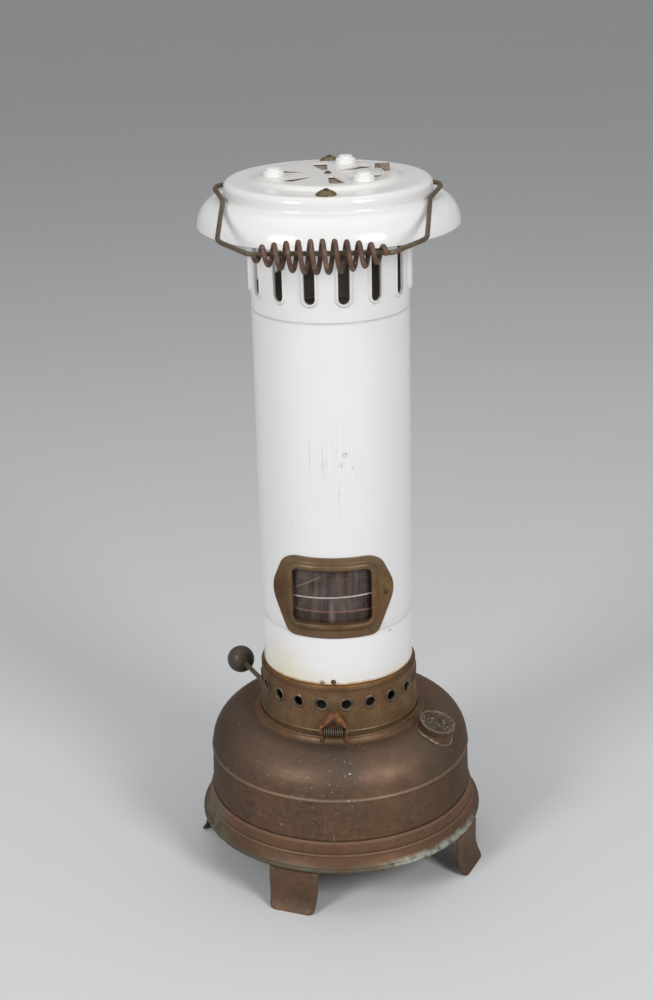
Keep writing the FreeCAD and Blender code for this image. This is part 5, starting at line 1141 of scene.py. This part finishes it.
# Hood
# An enamelled pressing like a bowler hat: a deep rounded brim, a short upright band and a flat top
# with a raised middle. Six wedges are cut through the middle, and a curved slot for the damper's tab.
hood_turn = 2.7
plate_z, plateau_z, brim_z = 680.6, 684.3, 640.9
hood_r, brim_r, plateau_r, hood_sheet = 94.3, 119.2, 67.6, 1.6
hood_profile = [(0.0, plateau_z), (30.0, plateau_z), (56.0, plateau_z)]
hood_profile += bow((60.4, plateau_z), (64.0, plateau_z - 1.85), -8.6, 6)
hood_profile += bow((64.0, plateau_z - 1.85), (plateau_r, plate_z), 8.6, 6)[1:]
hood_profile += [(74.0, plate_z), (84.0, plate_z)]
hood_profile += bow((hood_r - 6.0, plate_z), (hood_r, plate_z - 6.0), -6.1, 10)
hood_profile += bow((hood_r, plate_z - 11.2), (hood_r + 2.5, plate_z - 13.7), 2.55, 8)
hood_profile += bow((hood_r + 2.5, plate_z - 13.7), (brim_r, brim_z), -26.3, 26)[1:]
hood_profile += [(brim_r - 0.5, brim_z), (brim_r - hood_sheet, brim_z)]
hood_profile += bow((brim_r - hood_sheet, brim_z), (hood_r + 2.5, plate_z - 15.3), 24.9, 20)[1:]
hood_profile += [(hood_r - hood_sheet, plate_z - 12.8)]
hood_profile += bow((hood_r - hood_sheet, plate_z - 6.0), (hood_r - 6.0, plate_z - hood_sheet), 4.5, 6)
hood_profile += [(plateau_r, plate_z - hood_sheet), (62.5, plateau_z - 3.4), (59.6, plateau_z - hood_sheet)]
hood_profile += [(0.0, plateau_z - hood_sheet)]
hood_blank = piece("hood_blank", lathe_mesh("hood_blank", hood_profile))


def prism(name, line, reach=12.0):
    """Upright prism over a closed line of points, as a cutter through the hood's top."""
    work = bmesh.new()
    levels = (plateau_z - reach, plateau_z + reach)
    ends = [[work.verts.new((x * MM, y * MM, z * MM)) for x, y in line] for z in levels]
    for k in range(len(line)):
        j = (k + 1) % len(line)
        work.faces.new((ends[0][k], ends[0][j], ends[1][j], ends[1][k]))
    bmesh.ops.triangulate(work, faces=[work.faces.new(end) for end in ends])
    return smooth(finished(work, name))


hood_color = painted(
    enamel_white((0.728, 0.725, 0.714), (0.684, 0.681, 0.669)),
    coat("grime", (0.48, 0.40, 0.29), band, 0.16, full=0.6845, gone=0.676, ragged=1.2, scale=45))
hood_enamel = surface("hood_enamel", hood_color, enamel_roughness, 0.0, enamel_bump)
wedge_angle, peg_angle, tab_angle = 41.5 + hood_turn, 71.5 + hood_turn, 17.8 + hood_turn
wedge_inner, wedge_outer, wedge_tip, wedge_end = 15.0, 47.0, 2.4, 7.7
wedge_line = [(wedge_inner, -wedge_tip)]
wedge_line += bow((wedge_outer, -wedge_end), (wedge_outer, wedge_end), wedge_end * 1.4, 10)
wedge_mesh = prism("hood_wedge", wedge_line + [(wedge_inner, wedge_tip)])
wedge_cutter = ring_of("wedge_cutter", wedge_mesh, 6, wedge_angle, hood_enamel)
slot_ring, slot_half, slot_sweep = 53.8, 2.5, 24.8
turns = [math.radians(tab_angle - slot_sweep / 2 + slot_sweep * k / 16) for k in range(17)]
slot_edges = [(slot_ring + slot_half, a) for a in turns]
slot_edges += [(slot_ring - slot_half, a) for a in reversed(turns)]
slot_line = [(r * math.cos(a), r * math.sin(a)) for r, a in slot_edges]
slot_cutter = piece("slot_cutter", prism("tab_slot", slot_line))
for cutter in (wedge_cutter, slot_cutter):
    carve = hood_blank.modifiers.new(cutter.name, "BOOLEAN")
    carve.operation = "DIFFERENCE"
    carve.solver = "EXACT"
    carve.object = cutter
hood_mesh = plain_mesh(hood_blank, "hood")
for cutter in (wedge_cutter, slot_cutter):
    bpy.data.objects.remove(cutter)
fit(piece("hood", shade(hood_mesh, 38)), hood_enamel, "column", "enamel", "hood")

# Pot pegs
# Three white enamelled studs riveted through the hood, to keep a pan clear of its openings.
peg_ring = 49.0
peg_profile = [(0.0, 0.1), (9.6, 0.1), (9.6, 0.5), (9.3, 1.0), (9.1, 3.6)]
peg_profile += bow((9.0, 3.9), (8.0, 4.9), 1.0, 5) + [(6.9, 5.1), (6.5, 5.5), (6.4, 6.4)]
peg_profile += bow((6.4, 6.5), (5.5, 7.4), 0.9, 5) + [(0.0, 7.3)]
peg_mesh = lathe_mesh("peg", peg_profile, Matrix.Translation(Vector((peg_ring, 0, plateau_z)) * MM), 64)
peg_color = enamel_white((0.735, 0.732, 0.722), (0.690, 0.687, 0.675))
peg_roughness = wandering(0.42, 0.58, scale=150, seed=101)
peg_enamel = surface("peg_enamel", peg_color, peg_roughness, 0.0)
fit(ring_of("pot_pegs", peg_mesh, 3, peg_angle, peg_enamel), peg_enamel, "column", "enamel", "pot_pegs")

# Hood bolts and nuts
# Two bolts come up through the air collar's flange; low conical brass nuts hold the hood on them.
nut_color = painted(
    (0.090, 0.068, 0.036),
    coat("worn", (0.215, 0.175, 0.100), blotches, scale=120, softness=0.15, seed=103))
nut_brass = surface("nut_brass", nut_color, brass_roughness, 0.45, brass_bump, **dull)
bolt_ring = 79.5
nut_profile = [(2.3, 0.1), (9.0, 0.1), (9.0, 0.9)] + bow((8.8, 1.2), (4.4, 4.1), 13.0, 6)
nut_profile += [(3.2, 4.5), (2.3, 4.5)]
nut_mesh = lathe_mesh("nut", nut_profile, Matrix.Translation(Vector((0, -bolt_ring, plate_z)) * MM), 48)
fit(ring_of("hood_nuts", nut_mesh, 2, hood_turn, nut_brass), nut_brass, "column", "aged_brass", "hood_nuts")
bolt_profile = [(0.0, 674.7), (3.7, 674.7), (3.7, 677.3), (2.2, 677.3), (2.2, 686.1), (0.0, 686.1)]
bolt_place = Matrix.Translation(Vector((0, -bolt_ring, 0)) * MM)
bolt_mesh = lathe_mesh("bolt", eased(bolt_profile, 0.3), bolt_place, 32)
bolts = ring_of("hood_bolts", bolt_mesh, 2, hood_turn, rusty_steel)
fit(bolts, rusty_steel, "column", "rusty_steel", "hood_bolts")

# Damper
# A rusty steel disc under the hood with wedges like the hood's; its bent-up tab turns it, and a
# rivet in the middle carries it.
tab_color = painted(
    (0.075, 0.052, 0.042),
    coat("flecks", (0.250, 0.185, 0.150), blotches, scale=330, seed=107))
damper_color = painted(
    (0.235, 0.165, 0.125),
    coat("clouds", (0.345, 0.250, 0.190), blotches, scale=55, softness=0.16, seed=105),
    coat("dark scale", (0.090, 0.056, 0.040), blotches, 0.8, scale=160, threshold=0.6, seed=106),
    coat("tab", tab_color, band, 0.85, full=0.6862, gone=0.6845, ragged=0.4))
damper_rust = surface("damper_rust", damper_color, rust_roughness, 0.1, rust_bump)
as_cast("damper_disc", damper_rust, "damper", "rusty_steel")
as_cast("damper_pivot", aged_brass, "column", "rusty_steel")

# Carrying bail
# One length of dark wire sprung into two holes in the hood's band. It lies forward over the brim.
bail_rest, bail_z, bail_wire, bail_turn, bail_reach = math.radians(8.5), 675.2, 2.1, 1.4, 168.6
bail_swing = Matrix.Rotation(math.radians(bail_turn), 3, "Z")
bail_side = bail_swing @ Vector((1, 0, 0))
bail_ahead = bail_swing @ Vector((0, -math.cos(bail_rest), -math.sin(bail_rest)))


def on_bail(x, reach):
    return Vector((0, 0, bail_z)) + bail_side * x + bail_ahead * reach


half_bail = [(89.5, 0.0), (100.5, 0.0), (100.5, 12.0), (91.0, 41.2), (87.3, 138.2), (59.0, bail_reach)]
bail_corners = [on_bail(-x, y) for x, y in half_bail] + [on_bail(x, y) for x, y in reversed(half_bail)]


def bent(corners, bends, steps=10):
    """Points along a wire with each of its corners bent to a radius."""
    points = [corners[0]]
    for before, corner, after, bend in zip(corners, corners[1:], corners[2:], bends):
        back, ahead = (before - corner).normalized(), (after - corner).normalized()
        half = (math.pi - back.angle(ahead)) / 2
        cut = bend * math.tan(half)
        centre = corner + (back + ahead).normalized() * (bend / math.cos(half))
        start, end = corner + back * cut, corner + ahead * cut
        for k in range(steps + 1):
            spoke = (start - centre).lerp(end - centre, k / steps)
            points.append(centre + spoke.normalized() * bend)
    return points + [corners[-1]]


def wire(name, points, radius):
    """Round wire along points given in millimetres, as a mesh with closed ends."""
    line = bpy.data.curves.new(name, "CURVE")
    line.dimensions = "3D"
    line.bevel_depth = radius * MM
    line.bevel_resolution = 6
    line.use_fill_caps = True
    spline = line.splines.new("POLY")
    spline.points.add(len(points) - 1)
    for spot, at in zip(spline.points, points):
        spot.co = (*(at * MM), 1.0)
    return piece(name, smooth(plain_mesh(piece(name + "_line", line), name), 60))


half_bends = [8.0, 8.0, 8.0, 20.0, 8.0]
bail = wire("handle_bail", bent(bail_corners, half_bends + half_bends[::-1]), bail_wire)
fit(bail, dark_wire, "handle", "dark_wire", "handle_bail")

# Grip
# A barrel of thick wire wound round the bail's bar, wide in the middle and tight at its ends, to
# keep the hand off the hot wire. It has rusted browner than the bail.


def coil(name, material, place, turns, length, end_radius, wire_radius, swell=0.0, sag=0.0):
    """Geometry Nodes: wire wound round X, swelling and sagging in the middle, swept and realized."""
    lengths = {"Length": length, "End Radius": end_radius, "Swell": swell, "Sag": sag, "Wire": wire_radius}
    values = {"Turns": float(turns), **{key: value * MM for key, value in lengths.items()}}
    tree, given, settings = shaper(name + "_winding", values)
    line = node(tree, "GeometryNodeCurvePrimitiveLine")
    count = int(turns * 28) + 1
    fine = node(tree, "GeometryNodeResampleCurve", {"Curve": line.outputs[0], "Count": count})
    share = math_node(tree, "DIVIDE", node(tree, "GeometryNodeInputIndex").outputs[0], count - 1.0)
    from_middle = math_node(tree, "SUBTRACT", both(tree, share, 2.0), 1.0)
    bulge = math_node(tree, "SUBTRACT", 1.0, both(tree, from_middle, from_middle))
    radius = math_node(tree, "ADD", given["End Radius"], both(tree, bulge, given["Swell"]))
    angle = both(tree, both(tree, share, given["Turns"]), 2 * math.pi)
    x = both(tree, math_node(tree, "SUBTRACT", share, 0.5), given["Length"])
    y = both(tree, radius, math_node(tree, "COSINE", angle))
    z = both(tree, radius, math_node(tree, "SINE", angle))
    z = math_node(tree, "ADD", z, both(tree, bulge, given["Sag"]))
    at = node(tree, "ShaderNodeCombineXYZ", {0: x, 1: y, 2: z}).outputs[0]
    wound = node(tree, "GeometryNodeSetPosition", {"Geometry": fine.outputs[0], "Position": at})
    section = node(tree, "GeometryNodeCurvePrimitiveCircle", {"Resolution": 16, "Radius": given["Wire"]})
    sweep = {"Curve": wound.outputs[0], "Profile Curve": section.outputs[0], "Fill Caps": True}
    swept = node(tree, "GeometryNodeCurveToMesh", sweep)
    blank = bpy.data.meshes.new(name + "_blank")
    made = realized(name, blank, tree, settings, swept, material)
    made.data.transform(place)
    smooth(made.data, 60)
    return made


grip_color = painted(
    (0.060, 0.034, 0.025),
    coat("worn", (0.132, 0.078, 0.055), blotches, scale=80, softness=0.2, seed=111),
    coat("bright", (0.21, 0.140, 0.098), blotches, scale=150, threshold=0.58, softness=0.08, seed=112),
    coat("rust", (0.200, 0.080, 0.034), blotches, 0.5, scale=130, threshold=0.57, softness=0.08, seed=113))
grip_wire = surface("rusty_wire", grip_color, rust_roughness, 0.25, rust_bump)
grip_place = Matrix((bail_side, bail_ahead, bail_side.cross(bail_ahead))).transposed().to_4x4()
grip_place = Matrix.Translation(on_bail(0, bail_reach) * MM) @ grip_place
grip = coil("handle_grip", grip_wire, grip_place, turns=11, length=108.9, end_radius=4.7, wire_radius=2.1,
            swell=8.2, sag=3.0)
fit(grip, grip_wire, "handle", "dark_wire", "handle_grip")

# Spring catch
# At the front of the gallery: a bent steel bracket with a pin, a coil spring round the pin and a
# rusty A-shaped lever whose prongs hold under the tank's collar.
as_cast("catch_bracket", rusty_steel, "column", "rusty_steel")
pin_y, pin_z = -84.4, 166.0
pin_profile = eased([(0.0, -14.3), (1.4, -14.3), (1.4, 14.3), (0.0, 14.3)], 0.3)
pin_place = along_axis((0, pin_y, pin_z), (1, 0, 0))
turned("catch_pin", pin_profile, dark_wire, "column", "dark_wire", pin_place, 32)
spring_place = Matrix.Translation(Vector((0, pin_y, pin_z)) * MM)
spring = coil("catch_spring", dark_wire, spring_place, turns=9, length=18.9, end_radius=4.05,
              wire_radius=0.65)
fit(spring, dark_wire, "column", "dark_wire", "catch_spring")
lever_color = painted(
    (0.105, 0.036, 0.014),
    coat("flakes", (0.300, 0.108, 0.032), blotches, scale=160, softness=0.12, seed=121),
    coat("dark scale", (0.034, 0.019, 0.013), blotches, 0.75, scale=260, threshold=0.56, softness=0.08,
         seed=122))
lever_rust = surface("lever_rust", lever_color, rust_roughness, 0.15, rust_bump)
as_cast("catch_lever", lever_rust, "catch", "rusty_steel")

# Rear hinge
# A pin hinge between the tank's top and the gallery, opposite the catch, so that the column tips back.
as_cast("hinge_leaf_tank", aged_brass, "base", "rusty_steel")
as_cast("hinge_leaf_column", aged_brass, "column", "rusty_steel")
hinge_profile = eased([(0.0, -19.0), (1.6, -19.0), (1.6, 19.0), (0.0, 19.0)], 0.3)
hinge_place = along_axis((0, 86.4, 163.0), (1, 0, 0))
turned("hinge_pin", hinge_profile, dark_wire, "base", "dark_wire", hinge_place, 32)

# Studio
# A pale floor that runs out of sight, two soft lamps in front at left and right, a weak one above,
# and a camera where the photograph was taken from.
floor_mesh = bpy.data.meshes.new("floor")
floor_mesh.from_pydata([(-30, -30, 0), (30, -30, 0), (30, 30, 0), (-30, 30, 0)], [], [(0, 1, 2, 3)])
floor = piece("floor", floor_mesh)
floor_near = painted(
    (0.60, 0.605, 0.61),
    coat("cloud", (0.63, 0.635, 0.64), blotches, scale=1.5, softness=0.4, seed=131))


def floor_color(tree):
    far = fall(tree, vector_node(tree, "LENGTH", spot_of(tree)), 27.0, 11.0)
    return mixed(tree, far, floor_near(tree), (0.97, 0.97, 0.97))


floor_roughness = wandering(0.75, 0.9, scale=40, softness=0.4, seed=132)
floor.data.materials.append(surface("pale_floor", floor_color, floor_roughness))


def lamp(name, at, towards, size, power):
    light = bpy.data.lights.new(name, "AREA")
    light.shape = "RECTANGLE"
    light.size, light.size_y = size
    light.energy = power
    obj = bpy.data.objects.new(name, light)
    turn = (Vector(towards) - Vector(at)).to_track_quat("-Z", "Y").to_matrix().to_4x4()
    obj.matrix_world = Matrix.Translation(at) @ turn
    bpy.context.scene.collection.objects.link(obj)


lamp("left_softbox", (-1.5, -1.9, 1.75), (0, 0, 0.4), (0.75, 0.95), 35.0)
lamp("right_softbox", (1.6, -1.75, 1.75), (0, 0, 0.4), (0.75, 0.95), 38.0)
lamp("overhead", (0.0, 0.4, 2.6), (0, 0, 0.3), (2.0, 2.0), 12.0)
world = bpy.data.worlds.new("studio_air")
world.use_nodes = True
sky = world.node_tree.nodes["Background"].inputs
sky["Color"].default_value = (0.82, 0.825, 0.84, 1)
sky["Strength"].default_value = 0.44
bpy.context.scene.world = world
bpy.context.scene.view_settings.view_transform = "Standard"

lens = bpy.data.cameras.new("camera")
lens.lens = 64.68
lens.sensor_width = 36.0
lens.clip_end = 100.0
camera = bpy.data.objects.new("camera", lens)
heading, dip, roll = math.radians(4.287), math.radians(21.005), math.radians(-1.355)
aim = Matrix.Rotation(heading, 4, "Z") @ Matrix.Rotation(math.pi / 2 - dip, 4, "X")
camera.matrix_world = Matrix.Translation((0.11198, -1.6014, 0.98747)) @ aim @ Matrix.Rotation(roll, 4, "Z")
bpy.context.scene.collection.objects.link(camera)
bpy.context.scene.camera = camera
